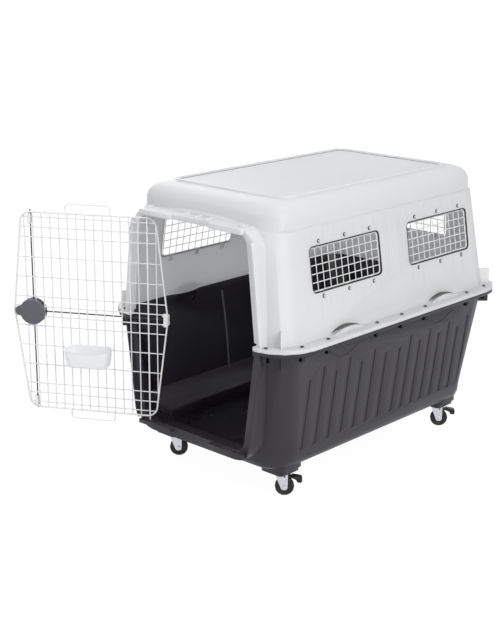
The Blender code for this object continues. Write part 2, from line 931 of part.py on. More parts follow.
# One welded grille, drawn flat: length along x, the wall's outer face at y = 0
def grille_mesh(scraps):
    half_u = window_half_length - grille_margin
    half_v = window_half_height - grille_margin
    plane = -(wall_thick + fit_gap + tab_thick)
    layer = grille_wire_radius - weld_depth / 2
    outline = rounded_outline(rectangle(half_u, half_v), window_radius - grille_margin, 3)
    border = wires([[(u, plane, v) for u, v in outline]], grille_frame_radius, "grille", True, 0)
    end_u = half_u + weld_depth
    end_v = half_v + weld_depth
    columns = []
    for index in range(1, grille_columns):
        u = half_u * (2 * index / grille_columns - 1)
        columns.append([(u, plane - layer, -end_v), (u, plane - layer, end_v)])
    rows = []
    for index in range(1, grille_rows):
        v = half_v * (2 * index / grille_rows - 1)
        rows.append([(-end_u, plane + layer, v), (end_u, plane + layer, v)])
    tabs = []
    for u, end in tab_spots():
        root = end * (half_v - grille_frame_radius / 2)
        tip = end * (half_v + tab_reach)
        low = (u - tab_half_width, plane - tab_thick / 5, min(root, tip))
        high = (u + tab_half_width, plane + tab_thick, max(root, tip))
        tabs.append(box(low, high, "tabs"))
    steps = [
        ("UNION", wires(columns, grille_wire_radius, "columns", resolution=0)),
        ("UNION", wires(rows, grille_wire_radius, "rows", resolution=0)),
        ("UNION", merged(tabs, "tabs")),
    ]
    return carved_mesh(border, steps, scraps)


def build_grilles(group, scraps, mat):
    mesh = grille_mesh(scraps)
    for name, (location, rotation) in window_placements().items():
        grille = bpy.data.objects.new(name, mesh)
        finish_part(grille, mat)
        place(grille, group, None, location, rotation)


def build_shell_bolts(group, mat):
    top = seam_z + fit_gap + flange_thick + fit_gap
    bottom = seam_z - flange_thick - fit_gap
    profile = [
        (0, top + shell_bolt_head_height),
        (shell_bolt_head_radius, top + shell_bolt_head_height),
        (shell_bolt_head_radius, top),
        (shell_bolt_radius, top),
        (shell_bolt_radius, bottom),
        (shell_bolt_head_radius, bottom),
        (shell_bolt_head_radius, bottom - shell_bolt_nut_height),
        (0, bottom - shell_bolt_nut_height),
    ]
    for number, (x, y) in enumerate(shell_bolt_spots(), 1):
        bolt = turned(profile, 6, "shell_bolt_" + str(number).zfill(2))
        finish_part(bolt, mat)
        place(bolt, group, None, (x, y, 0))


# Door coordinates: x from the hinge line, y out of the door's plane, z up
def door_outline():
    corners = [
        (-door_foot_width, door_foot_z),
        (door_foot_width, door_foot_z),
        (door_half_width, seam_z),
        (door_top_width, door_top_z),
        (-door_top_width, door_top_z),
        (-door_half_width, seam_z),
    ]
    radius = door_corner_radius
    return rounded_outline(corners, [radius, radius, 0, radius, radius, 0])


# An open path of corners at (half width, rise), bent over the door's edge
def loop_path(side):
    half = loop_half_width
    corners = [(-half, 0), (half, 0), (half, loop_height), (-half, loop_height)]
    bend = rounded_outline(corners, [0, 0, loop_corner, loop_corner], 3)
    path = bend[1:] + bend[:1]
    edge = seam_z + side * door_height / 2
    return [(u - hinge_x, -layer_y, edge + side * rise) for u, rise in path]


def build_door_panel(hinge, group, scraps, mat):
    outline = door_outline()
    border = wires([[(u - hinge_x, 0, v) for u, v in outline]], border_radius, "door_panel", True)
    uprights = []
    for index in range(upright_count):
        x = first_upright_x + index * upright_pitch
        low, high = crossings(outline, 0, x)
        low -= weld_depth
        high += weld_depth
        if index != hinge_upright:
            uprights.append([(x - hinge_x, layer_y, low), (x - hinge_x, layer_y, high)])
    rungs = []
    for step in rung_half_pitches:
        z = door_foot_z + step * rung_pitch
        left, right = crossings(outline, 1, z)
        left -= hinge_x + weld_depth
        right -= hinge_x - weld_depth
        rungs.append([(left, -layer_y, z), (right, -layer_y, z)])
    pin = [(0, 0, sill_z - pin_depth), (0, 0, lintel_z + pin_depth)]
    steps = [
        ("UNION", wires(uprights, wire_radius, "uprights", resolution=0)),
        ("UNION", wires(rungs, wire_radius, "rungs", resolution=0)),
        ("UNION", wires([pin], hinge_wire_radius, "hinge_wire")),
        ("UNION", wires([loop_path(1), loop_path(-1)], wire_radius, "loops")),
    ]
    finish_part(border, mat)
    place(border, group, hinge)
    carve(border, steps, scraps)
    for operation, tool in steps:
        tool.parent = hinge


outward = (radians(90), 0, 0)
inward = (radians(-90), 0, 0)


def build_latch(hinge, group, scraps, dark, steel):
    spot = (latch_x - hinge_x, 0, seam_z)
    profile = [
        (0, cover_depth),
        (latch_radius - latch_edge, cover_depth),
        (latch_radius, cover_depth - latch_edge),
        (latch_radius, 0),
        (0, 0),
    ]
    cover = turned(profile, 24, "latch_cover")
    lobe = cylinder(lobe_radius, (latch_radius, 0, 0), (latch_radius, 0, lobe_depth), "lobe", 16)
    lobe.parent = cover
    finish_part(cover, dark)
    place(cover, group, hinge, (spot[0], layer_face_y, seam_z), inward)
    carve(cover, [("UNION", lobe)], scraps)

    hole = shaft_radius + fit_gap
    profile = [
        (hole, case_depth),
        (latch_radius - latch_edge, case_depth),
        (latch_radius, case_depth - latch_edge),
        (latch_radius, 0),
        (latch_radius - case_wall, 0),
        (latch_radius - case_wall, case_depth - case_wall),
        (hole, case_depth - case_wall),
    ]
    case = turned(profile, 24, "latch_case", True)
    slot = bolt_radius + bolt_gap
    slot_top = -bolt_plane_y - layer_face_y + slot
    near = latch_radius - 2 * case_wall
    far = latch_radius + case_wall
    slots = [
        box((near, -slot, -case_wall), (far, slot, slot_top), "slots"),
        box((-far, -slot, -case_wall), (-near, slot, slot_top), "slots"),
        box((-slot, near, -case_wall), (slot, far, slot_top), "slots"),
        box((-slot, -far, -case_wall), (slot, -near, slot_top), "slots"),
    ]
    slots = merged(slots, "slots")
    slots.parent = case
    finish_part(case, dark)
    place(case, group, hinge, (spot[0], -layer_face_y, seam_z), outward)
    carve(case, [("DIFFERENCE", slots)], scraps)

    bottom = case_depth + fit_gap
    profile = [
        (0, bottom + knob_depth),
        (knob_radius, bottom + knob_depth),
        (knob_radius, bottom),
        (shaft_radius, bottom),
        (shaft_radius, bottom - shaft_depth),
        (0, bottom - shaft_depth),
    ]
    knob = turned(profile, 24, "latch_knob")
    half = knob_grip_width / 2
    reach = knob_radius - knob_depth / 2
    top = bottom + knob_depth + knob_grip_depth
    grip = box((-half, -reach, bottom + knob_depth / 2), (half, reach, top), "knob_grip")
    grip.parent = knob
    finish_part(knob, dark)
    place(knob, group, hinge, (spot[0], -layer_face_y, seam_z), outward)
    carve(knob, [("UNION", grip)], scraps)

    reach_z = door_height / 2 + bolt_rest_proud
    reach_free = door_half_width + side_bolt_rest_proud - latch_x
    reach_hinge = door_half_width + side_bolt_rest_proud + latch_x
    bolts = {
        "bolt_upper": [(0, 0, bolt_root), (0, 0, reach_z)],
        "bolt_lower": [(0, 0, -bolt_root), (0, 0, -reach_z)],
        "bolt_free_side": [(bolt_root, 0, 0), (reach_free, 0, 0)],
        "bolt_hinge_side": [(-bolt_root, 0, 0), (-reach_hinge, 0, 0)],
    }
    for name, path in bolts.items():
        bolt = wires([path], bolt_radius, name, resolution=2)
        finish_part(bolt, steel)
        place(bolt, group, hinge, (spot[0], bolt_plane_y, seam_z))


def build_guide(name, hinge, x, z, along_x, group, scraps, mat):
    channel = bolt_radius + bolt_gap
    depth = -bolt_plane_y - layer_face_y + channel
    width = guide_width / 2
    length = guide_length / 2
    guide = box((-width, -depth - guide_wall, -length), (width, 0, length), name)
    if along_x:
        past = width + guide_wall
        groove = box((-past, -depth, -channel), (past, guide_wall, channel), "groove")
    else:
        past = length + guide_wall
        groove = box((-channel, -depth, -past), (channel, guide_wall, past), "groove")
    groove.parent = guide
    finish_part(guide, mat)
    place(guide, group, hinge, (x - hinge_x, -layer_face_y, z))
    carve(guide, [("DIFFERENCE", groove)], scraps)


def build_bowl(hinge, group, scraps, mat):
    rung_z = door_foot_z + bowl_rung * rung_pitch
    rim_z = bowl_rim_above_rung
    back = layer_face_y + bowl_depth / 2
    wall_half = bowl_top_half - bowl_rim_width
    wall_depth = bowl_depth / 2 - bowl_rim_width
    foot_depth = bowl_foot_depth / 2
    center = (0, back)

    def ring(half, depth, corner, z):
        return rounded_ring(half, depth, corner, z, center, 4)

    bowl = loft(
        [
            ring(bowl_foot_half, foot_depth, bowl_corner, rim_z - bowl_height),
            ring(wall_half, wall_depth, bowl_corner, rim_z - bowl_rim_thick),
            ring(bowl_top_half, bowl_depth / 2, bowl_corner, rim_z - bowl_rim_thick),
            ring(bowl_top_half, bowl_depth / 2, bowl_corner, rim_z),
        ],
        "bowl",
    )
    inner_corner = bowl_corner - bowl_wall
    floor_z = rim_z - bowl_height + bowl_wall
    hollow = loft(
        [
            ring(bowl_foot_half - bowl_wall, foot_depth - bowl_wall, inner_corner, floor_z),
            ring(wall_half - bowl_wall, wall_depth - bowl_wall, inner_corner, rim_z - bowl_rim_thick),
            ring(wall_half - bowl_wall, wall_depth - bowl_wall, inner_corner, rim_z + bowl_rim_thick),
        ],
        "bowl_hollow",
    )
    seat = wire_radius + fit_gap
    leg_inner = -(layer_y + wire_radius + fit_gap)
    wall_y = layer_face_y + bowl_rim_width + bowl_wall / 2
    outline = [
        (wall_y, seat),
        (wall_y, seat + hook_thick),
        (leg_inner - hook_thick, seat + hook_thick),
        (leg_inner - hook_thick, -hook_drop),
        (leg_inner, -hook_drop),
        (leg_inner, seat),
    ]
    hooks = []
    for hand in (-1, 1):
        x = hand * hook_pitches * upright_pitch
        hooks.append(prism(outline, "x", x - hook_width / 2, x + hook_width / 2, "hooks"))
    hooks = merged(hooks, "hooks")
    hooks.parent = bowl
    hollow.parent = bowl
    finish_part(bowl, mat)
    bowl_x = first_upright_x + bowl_upright * upright_pitch
    place(bowl, group, hinge, (bowl_x - hinge_x, 0, rung_z))
    carve(bowl, [("UNION", hooks), ("DIFFERENCE", hollow)], scraps)


# Casters, drawn about the swivel axis at the foot's underside, trailing along +x
def fork_mesh(scraps):
    plate_bottom = -fit_gap - plate_thick
    race_bottom = plate_bottom - fit_gap - race_height
    crown_bottom = race_bottom - crown_thick
    axle_z = wheel_radius - caster_height
    inner_y = wheel_width / 2 + fork_gap
    outer_y = inner_y + fork_thick
    race_top = race_bottom + race_height
    race = cylinder(race_radius, (0, 0, race_bottom - crown_thick / 2), (0, 0, race_top), "fork", 12)
    tail = caster_trail + fork_tail
    crown = box((-fork_lead, -outer_y, crown_bottom), (tail, outer_y, race_bottom), "crown")
    half = fork_axle_half
    foot = fork_foot_radius
    cheek = rounded_outline(
        [
            (caster_trail - half, axle_z - half),
            (caster_trail + half, axle_z - half),
            (tail, crown_bottom + crown_thick / 2),
            (-fork_lead, crown_bottom + crown_thick / 2),
        ],
        [foot, foot, 0, 0],
        2,
    )
    cheeks = [
        prism(cheek, "y", inner_y, outer_y, "cheeks"),
        prism(cheek, "y", -outer_y, -inner_y, "cheeks"),
    ]
    pin_z = crown_bottom - pedal_pin_drop
    reach = outer_y + fork_gap
    holes = []
    for radius, z in ((axle_radius, axle_z), (pedal_pin_radius, pin_z)):
        ends = (caster_trail, -reach, z), (caster_trail, reach, z)
        holes.append(cylinder(around(radius, 6), *ends, "holes", 6))
    steps = [
        ("UNION", crown),
        ("UNION", merged(cheeks, "cheeks")),
        ("DIFFERENCE", merged(holes, "holes")),
    ]
    return carved_mesh(race, steps, scraps)


def axle_mesh(scraps):
    outer_y = wheel_width / 2 + fork_gap + fork_thick + fit_gap
    profile = [
        (0, outer_y + axle_head_height),
        (axle_head_radius, outer_y + axle_head_height),
        (axle_head_radius, outer_y),
        (axle_radius, outer_y),
        (axle_radius, -outer_y),
        (axle_head_radius, -outer_y),
        (axle_head_radius, -outer_y - axle_head_height),
        (0, -outer_y - axle_head_height),
    ]
    return carved_mesh(turned(profile, 6, "axle"), [], scraps)


def wheel_mesh(scraps):
    half = wheel_width / 2
    bore = around(axle_radius, 14)
    dish = half - hub_dish
    web = wheel_radius - 2 * tread_round
    profile = [
        (bore, half),
        (hub_radius, half),
        ((hub_radius + web) / 2, dish),
        (web, half),
        (wheel_radius - tread_round, half),
        (wheel_radius, half - tread_round),
    ]
    profile += [(radius, -height) for radius, height in reversed(profile)]
    return carved_mesh(turned(profile, 14, "wheel", True), [], scraps)


def pedal_mesh(scraps):
    inner_y = wheel_width / 2 + fork_gap - fit_gap - fork_gap / 3
    outer_y = wheel_width / 2 + fork_gap + fork_thick
    pin = cylinder(pedal_pin_radius, (0, -outer_y, 0), (0, outer_y, 0), "pedal", 6)
    half = pedal_thick / 2
    outline = [
        (-pedal_nose, -half / 2),
        (pedal_nose, -half),
        (pedal_length / 2, -pedal_slope / 2 - half),
        (pedal_length - pedal_nose, -pedal_slope + half - pedal_tip_thick),
        (pedal_length, -pedal_slope - half),
        (pedal_length - pedal_nose, -pedal_slope + half),
        (pedal_nose, half),
        (-pedal_nose, half / 2),
    ]
    return carved_mesh(pin, [("UNION", prism(outline, "y", -inner_y, inner_y, "tread"))], scraps)


def build_casters(group, scraps, zinc, rubber, black):
    axle_z = wheel_radius - caster_height
    pin_z = -2 * fit_gap - plate_thick - race_height - crown_thick - pedal_pin_drop
    meshes = {
        "fork": (fork_mesh(scraps), zinc, (0, 0, 0), (0, 0, 0)),
        "axle": (axle_mesh(scraps), zinc, (caster_trail, 0, axle_z), inward),
        "wheel": (wheel_mesh(scraps), rubber, (caster_trail, 0, axle_z), inward),
        "pedal": (pedal_mesh(scraps), black, (caster_trail, 0, pin_z), (0, 0, 0)),
    }
    top = -foot_drop - fit_gap
    for x, hand_name in ((-caster_x, "left"), (caster_x, "right")):
        for y, end_name in ((-caster_y, "front"), (caster_y, "rear")):
            label = end_name + "_" + hand_name
            low = (x - plate_half, y - plate_half, top - plate_thick)
            plate = box(low, (x + plate_half, y + plate_half, top), "caster_plate_" + label)
            finish_part(plate, zinc)
            place(plate, group)
            swivel = bpy.data.objects.new("caster_swivel_" + label, None)
            place(swivel, group, None, (x, y, -foot_drop), (0, 0, radians(caster_yaw)))
            for kind, (mesh, mat, location, rotation) in meshes.items():
                piece = bpy.data.objects.new("caster_" + kind + "_" + label, mesh)
                finish_part(piece, mat)
                place(piece, group, swivel, location, rotation)


def build_crate():
    clear_scene()
    group = new_collection("dog_travel_crate")
    scraps = new_collection("cutters")
    white = make_material("canopy_plastic", (0.80, 0.80, 0.81), 0.45)
    dark = make_material("tray_plastic", (0.085, 0.082, 0.095), 0.55)
    latch = make_material("latch_plastic", (0.10, 0.105, 0.12), 0.45)
    bowl = make_material("bowl_plastic", (0.85, 0.86, 0.87), 0.35)
    clip = make_material("guide_plastic", (0.85, 0.85, 0.84), 0.50)
    coated = make_material("white_coated_wire", (0.82, 0.82, 0.82), 0.40)
    black_wire = make_material("black_coated_rod", (0.03, 0.03, 0.03), 0.40)
    zinc = make_material("zinc_steel", (0.60, 0.60, 0.60), 0.35, 1.0)
    rubber = make_material("wheel_rubber", (0.03, 0.03, 0.03), 0.70)
    black = make_material("pedal_plastic", (0.03, 0.03, 0.03), 0.50)

    hinge = bpy.data.objects.new("door_hinge", None)
    place(hinge, group, None, (hinge_x, door_plane_y, 0), (0, 0, radians(-door_open_angle)))
    build_grilles(group, scraps, coated)
    build_casters(group, scraps, zinc, rubber, black)
    build_shell_bolts(group, zinc)
    build_door_panel(hinge, group, scraps, coated)
    build_latch(hinge, group, scraps, latch, black_wire)
    guide_z = door_height / 2 - guide_inset - guide_length / 2
    build_guide("guide_upper", hinge, latch_x, seam_z + guide_z, False, group, scraps, clip)
    build_guide("guide_lower", hinge, latch_x, seam_z - guide_z, False, group, scraps, clip)
    edge_x = door_half_width + border_radius - guide_width / 2
    build_guide("guide_side", hinge, -edge_x, seam_z, True, group, scraps, clip)
    build_bowl(hinge, group, scraps, bowl)
    build_tray(group, scraps, dark)
    build_canopy(group, scraps, white)


build_crate()
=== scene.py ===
import json
from math import cos, pi, radians, sin

import bpy
from mathutils import Euler, Matrix, Vector
from mathutils.bvhtree import BVHTree

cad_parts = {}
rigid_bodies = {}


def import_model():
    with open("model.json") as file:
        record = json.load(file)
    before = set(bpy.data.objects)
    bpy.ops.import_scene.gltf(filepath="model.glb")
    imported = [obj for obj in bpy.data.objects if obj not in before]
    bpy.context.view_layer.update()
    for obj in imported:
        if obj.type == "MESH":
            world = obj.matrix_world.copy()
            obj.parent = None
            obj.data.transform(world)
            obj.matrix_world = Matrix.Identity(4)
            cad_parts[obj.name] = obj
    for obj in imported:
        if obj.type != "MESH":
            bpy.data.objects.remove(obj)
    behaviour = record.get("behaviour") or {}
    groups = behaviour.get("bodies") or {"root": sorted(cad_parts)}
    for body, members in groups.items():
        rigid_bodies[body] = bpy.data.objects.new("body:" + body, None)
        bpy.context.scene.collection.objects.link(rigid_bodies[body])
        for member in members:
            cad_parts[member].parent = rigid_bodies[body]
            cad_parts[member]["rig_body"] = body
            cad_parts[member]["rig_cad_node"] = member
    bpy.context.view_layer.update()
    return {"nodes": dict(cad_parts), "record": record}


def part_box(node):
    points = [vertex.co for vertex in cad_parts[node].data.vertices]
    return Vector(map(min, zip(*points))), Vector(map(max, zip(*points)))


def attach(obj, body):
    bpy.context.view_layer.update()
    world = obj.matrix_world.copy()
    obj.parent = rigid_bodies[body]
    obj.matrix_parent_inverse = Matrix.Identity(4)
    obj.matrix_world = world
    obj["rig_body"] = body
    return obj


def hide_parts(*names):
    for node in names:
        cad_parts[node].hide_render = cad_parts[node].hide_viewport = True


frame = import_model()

corners = ("front_left", "front_right", "rear_left", "rear_right")
hands = ((1, "right"), (-1, "left"))  # which way each side of the crate looks along x
upright = Matrix.Identity(4)
weldGap = 0.00001  # points closer than this become one
flatAngle = 0.6  # faces that turn less than this become one


# Small helpers for working by hand, in code

def pickOnly(obj):
    if bpy.context.object and bpy.context.object.mode != "OBJECT":
        bpy.ops.object.mode_set(mode="OBJECT")
    bpy.ops.object.select_all(action="DESELECT")
    obj.select_set(True)
    bpy.context.view_layer.objects.active = obj


def clearPick():
    bpy.ops.object.select_all(action="DESELECT")


def startEdit(obj, faceTest=None):
    pickOnly(obj)
    bpy.context.tool_settings.mesh_select_mode = (False, False, True)
    for vertex in obj.data.vertices:
        vertex.select = False
    for edge in obj.data.edges:
        edge.select = False
    for face in obj.data.polygons:
        face.select = faceTest is None or faceTest(face.center, face.normal)
    bpy.ops.object.mode_set(mode="EDIT")


def endEdit():
    bpy.ops.object.mode_set(mode="OBJECT")


def applyPlace(obj):
    pickOnly(obj)
    bpy.ops.object.transform_apply(location=True, rotation=True, scale=True)
    return obj


def applyModifiers(obj):
    pickOnly(obj)
    for modifier in list(obj.modifiers):
        bpy.ops.object.modifier_apply(modifier=modifier.name)
    return obj


def bevelEdges(obj, width, segments=2, angle=35):
    bevel = obj.modifiers.new("Bevel", "BEVEL")
    bevel.width = width
    bevel.segments = segments
    bevel.limit_method = "ANGLE"
    bevel.angle_limit = radians(angle)
    return applyModifiers(obj)


def joined(objects):
    clearPick()
    for obj in objects:
        obj.select_set(True)
    bpy.context.view_layer.objects.active = objects[0]
    if len(objects) > 1:
        bpy.ops.object.join()
    return objects[0]


def moved(obj, matrix):
    obj.data.transform(matrix)
    return obj


def copied(obj, matrix=upright):
    twin = obj.copy()
    twin.data = obj.data.copy()
    bpy.context.scene.collection.objects.link(twin)
    return moved(twin, matrix)


def removed(obj):
    bpy.data.objects.remove(obj, do_unlink=True)


def rod(start, end, radius, sides=10):
    axis = Vector(end) - Vector(start)
    middle = (Vector(start) + Vector(end)) / 2
    turn = axis.to_track_quat("Z", "Y").to_euler()
    bpy.ops.mesh.primitive_cylinder_add(
        vertices=sides, radius=radius, depth=axis.length, location=middle, rotation=turn
    )
    return applyPlace(bpy.context.object)


def block(low, high):
    low, high = Vector(low), Vector(high)
    bpy.ops.mesh.primitive_cube_add(size=1, location=(low + high) / 2)
    made = bpy.context.object
    made.scale = high - low
    return applyPlace(made)


def bentWire(points, radius, closed, sides=2):
    line = bpy.data.curves.new("wire", "CURVE")
    line.dimensions = "3D"
    line.bevel_depth = radius
    line.bevel_resolution = sides
    line.use_fill_caps = not closed
    spline = line.splines.new("POLY")
    spline.points.add(len(points) - 1)
    for target, point in zip(spline.points, points):
        target.co = (*point, 1)
    spline.use_cyclic_u = closed
    made = bpy.data.objects.new("wire", line)
    bpy.context.scene.collection.objects.link(made)
    pickOnly(made)
    bpy.ops.object.convert(target="MESH")
    made = bpy.context.object
    startEdit(made)
    bpy.ops.mesh.remove_doubles(threshold=weldGap)
    endEdit()
    return made


def roundCorners(points, radii, steps=6):
    outline = []
    for index, point in enumerate(points):
        corner = Vector(point)
        radius = radii[index]
        if radius <= 0:
            outline.append(tuple(corner))
            continue
        before = (Vector(points[index - 1]) - corner).normalized()
        after = (Vector(points[(index + 1) % len(points)]) - corner).normalized()
        halfAngle = before.angle(after) / 2
        center = corner + (before + after).normalized() * (radius / sin(halfAngle))
        reach = radius * cos(halfAngle) / sin(halfAngle)
        start = corner + before * reach - center
        sweep = start.angle_signed(corner + after * reach - center)
        for step in range(steps + 1):
            outline.append(tuple(center + Matrix.Rotation(-sweep * step / steps, 2) @ start))
    return outline


def rectangle(halfX, halfY):
    return [(-halfX, -halfY), (halfX, -halfY), (halfX, halfY), (-halfX, halfY)]


# The two places where an upright or level line crosses an outline
def crossings(outline, axis, value):
    hits = []
    for first, second in zip(outline, outline[1:] + outline[:1]):
        before, after = first[axis] - value, second[axis] - value
        if before * after < 0:
            share = before / (before - after)
            hits.append(first[1 - axis] + share * (second[1 - axis] - first[1 - axis]))
    return min(hits), max(hits)


def dress(obj, name, body, material, replaced=(), angle=35):
    obj.name = name
    obj.data.name = name
    obj.data.materials.clear()
    obj.data.materials.append(material)
    pickOnly(obj)
    bpy.ops.object.shade_smooth_by_angle(angle=radians(angle))
    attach(obj, body)
    if replaced:
        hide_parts(*replaced)


# Where a straight line first meets a CAD node, and which way the surface faces there
class Surface:
    def __init__(self, node):
        mesh = frame["nodes"][node].data
        points = [vertex.co for vertex in mesh.vertices]
        self.tree = BVHTree.FromPolygons(points, [face.vertices for face in mesh.polygons])

    def meet(self, start, aim):
        return self.tree.ray_cast(Vector(start), Vector(aim))[:2]


# Stands a piece that was made at the origin, pointing up, on a surface
def standing(spot, normal, sink=0.0):
    turn = normal.to_track_quat("Z", "Y").to_matrix().to_4x4()
    return Matrix.Translation(spot - normal * sink) @ turn


# A CAD piece with its edges softened, which stands for the node
def softened(node, width):
    source = frame["nodes"][node]
    twin = source.copy()
    twin.data = source.data.copy()
    bpy.context.scene.collection.objects.link(twin)
    twin.parent = None
    twin.matrix_world = upright
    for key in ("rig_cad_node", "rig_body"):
        del twin[key]
    twin.name = "soft_" + node
    startEdit(twin)
    bpy.ops.mesh.remove_doubles(threshold=weldGap)
    bpy.ops.mesh.customdata_custom_splitnormals_clear()
    bpy.ops.mesh.dissolve_limited(angle_limit=radians(flatAngle))
    endEdit()
    return bevelEdges(twin, width, angle=30)


# Shader maths: a socket with the operators that the finishes use
class Sock:
    def __init__(self, tree, out=None):
        self.tree = tree
        self.out = out

    def node(self, kind, settings=None, sockets=None, result=0):
        made = self.tree.nodes.new("ShaderNode" + kind)
        for name, value in (settings or {}).items():
            setattr(made, name, value)
        for name, value in (sockets or {}).items():
            if isinstance(value, Sock):
                self.tree.links.new(value.out, made.inputs[name])
            else:
                made.inputs[name].default_value = value
        return Sock(self.tree, made.outputs[result] if made.outputs else None)

    def sums(self, operation, first, second):
        return self.node("Math", {"operation": operation}, {0: first, 1: second})

    def __add__(self, other):
        return self.sums("ADD", self, other)

    def __radd__(self, other):
        return self.sums("ADD", other, self)

    def __sub__(self, other):
        return self.sums("SUBTRACT", self, other)

    def __rsub__(self, other):
        return self.sums("SUBTRACT", other, self)

    def __mul__(self, other):
        return self.sums("MULTIPLY", self, other)

    def __rmul__(self, other):
        return self.sums("MULTIPLY", other, self)


def newFinish(name):
    material = bpy.data.materials.new(name)
    material.use_nodes = True
    material.node_tree.nodes.clear()
    return material, Sock(material.node_tree)


def place(root, scale=(1, 1, 1)):
    coords = root.node("TexCoord", {}, {}, "Object")
    return root.node("Mapping", {}, {"Vector": coords, "Scale": scale})


def noise(root, where, scale, detail=3.0):
    return root.node("TexNoise", {}, {"Vector": where, "Scale": scale, "Detail": detail})


def tinted(root, factor, low, high):
    return root.node("Mix", {"data_type": "RGBA"}, {0: factor, 6: (*low, 1), 7: (*high, 1)}, 2)


# A moulded or coated finish: mottled colour, a grain in the surface and an uneven sheen
finishDetail = {"mottle": 4.0, "grain": 2.0, "edgeSamples": 4}
# What a look doesn't say
plainLook = {"edge": 0.001, "metal": 0.0, "specular": 0.5, "coat": 0.0, "coatRough": 0.2}


def mouldedFinish(ownLook):
    look = {**plainLook, **ownLook}
    material, root = newFinish(look["name"])
    where = place(root)
    mottle = noise(root, where, look["mottleScale"], finishDetail["mottle"])
    grain = noise(root, where, look["grainScale"], finishDetail["grain"])
    color = tinted(root, mottle, look["low"], look["high"])
    rough = look["rough"] + (mottle - 0.5) * look["roughSpread"]
    edge = root.node("Bevel", {"samples": finishDetail["edgeSamples"]}, {"Radius": look["edge"]})
    bump = root.node("Bump", {}, {
        "Strength": look["grainStrength"], "Distance": look["grainDepth"], "Height": grain, "Normal": edge,
    })
    shader = root.node("BsdfPrincipled", {}, {
        "Base Color": color, "Roughness": rough, "Normal": bump, "Metallic": look["metal"],
        "Specular IOR Level": look["specular"], "Coat Weight": look["coat"],
        "Coat Roughness": look["coatRough"],
    })
    if "sheer" in look:  # light comes through thin plastic
        through = root.node("BsdfTranslucent", {}, {"Color": (*look["high"], 1)})
        shader = root.node("MixShader", {}, {0: look["sheer"], 1: shader, 2: through})
    root.node("OutputMaterial", {}, {"Surface": shader})
    return material


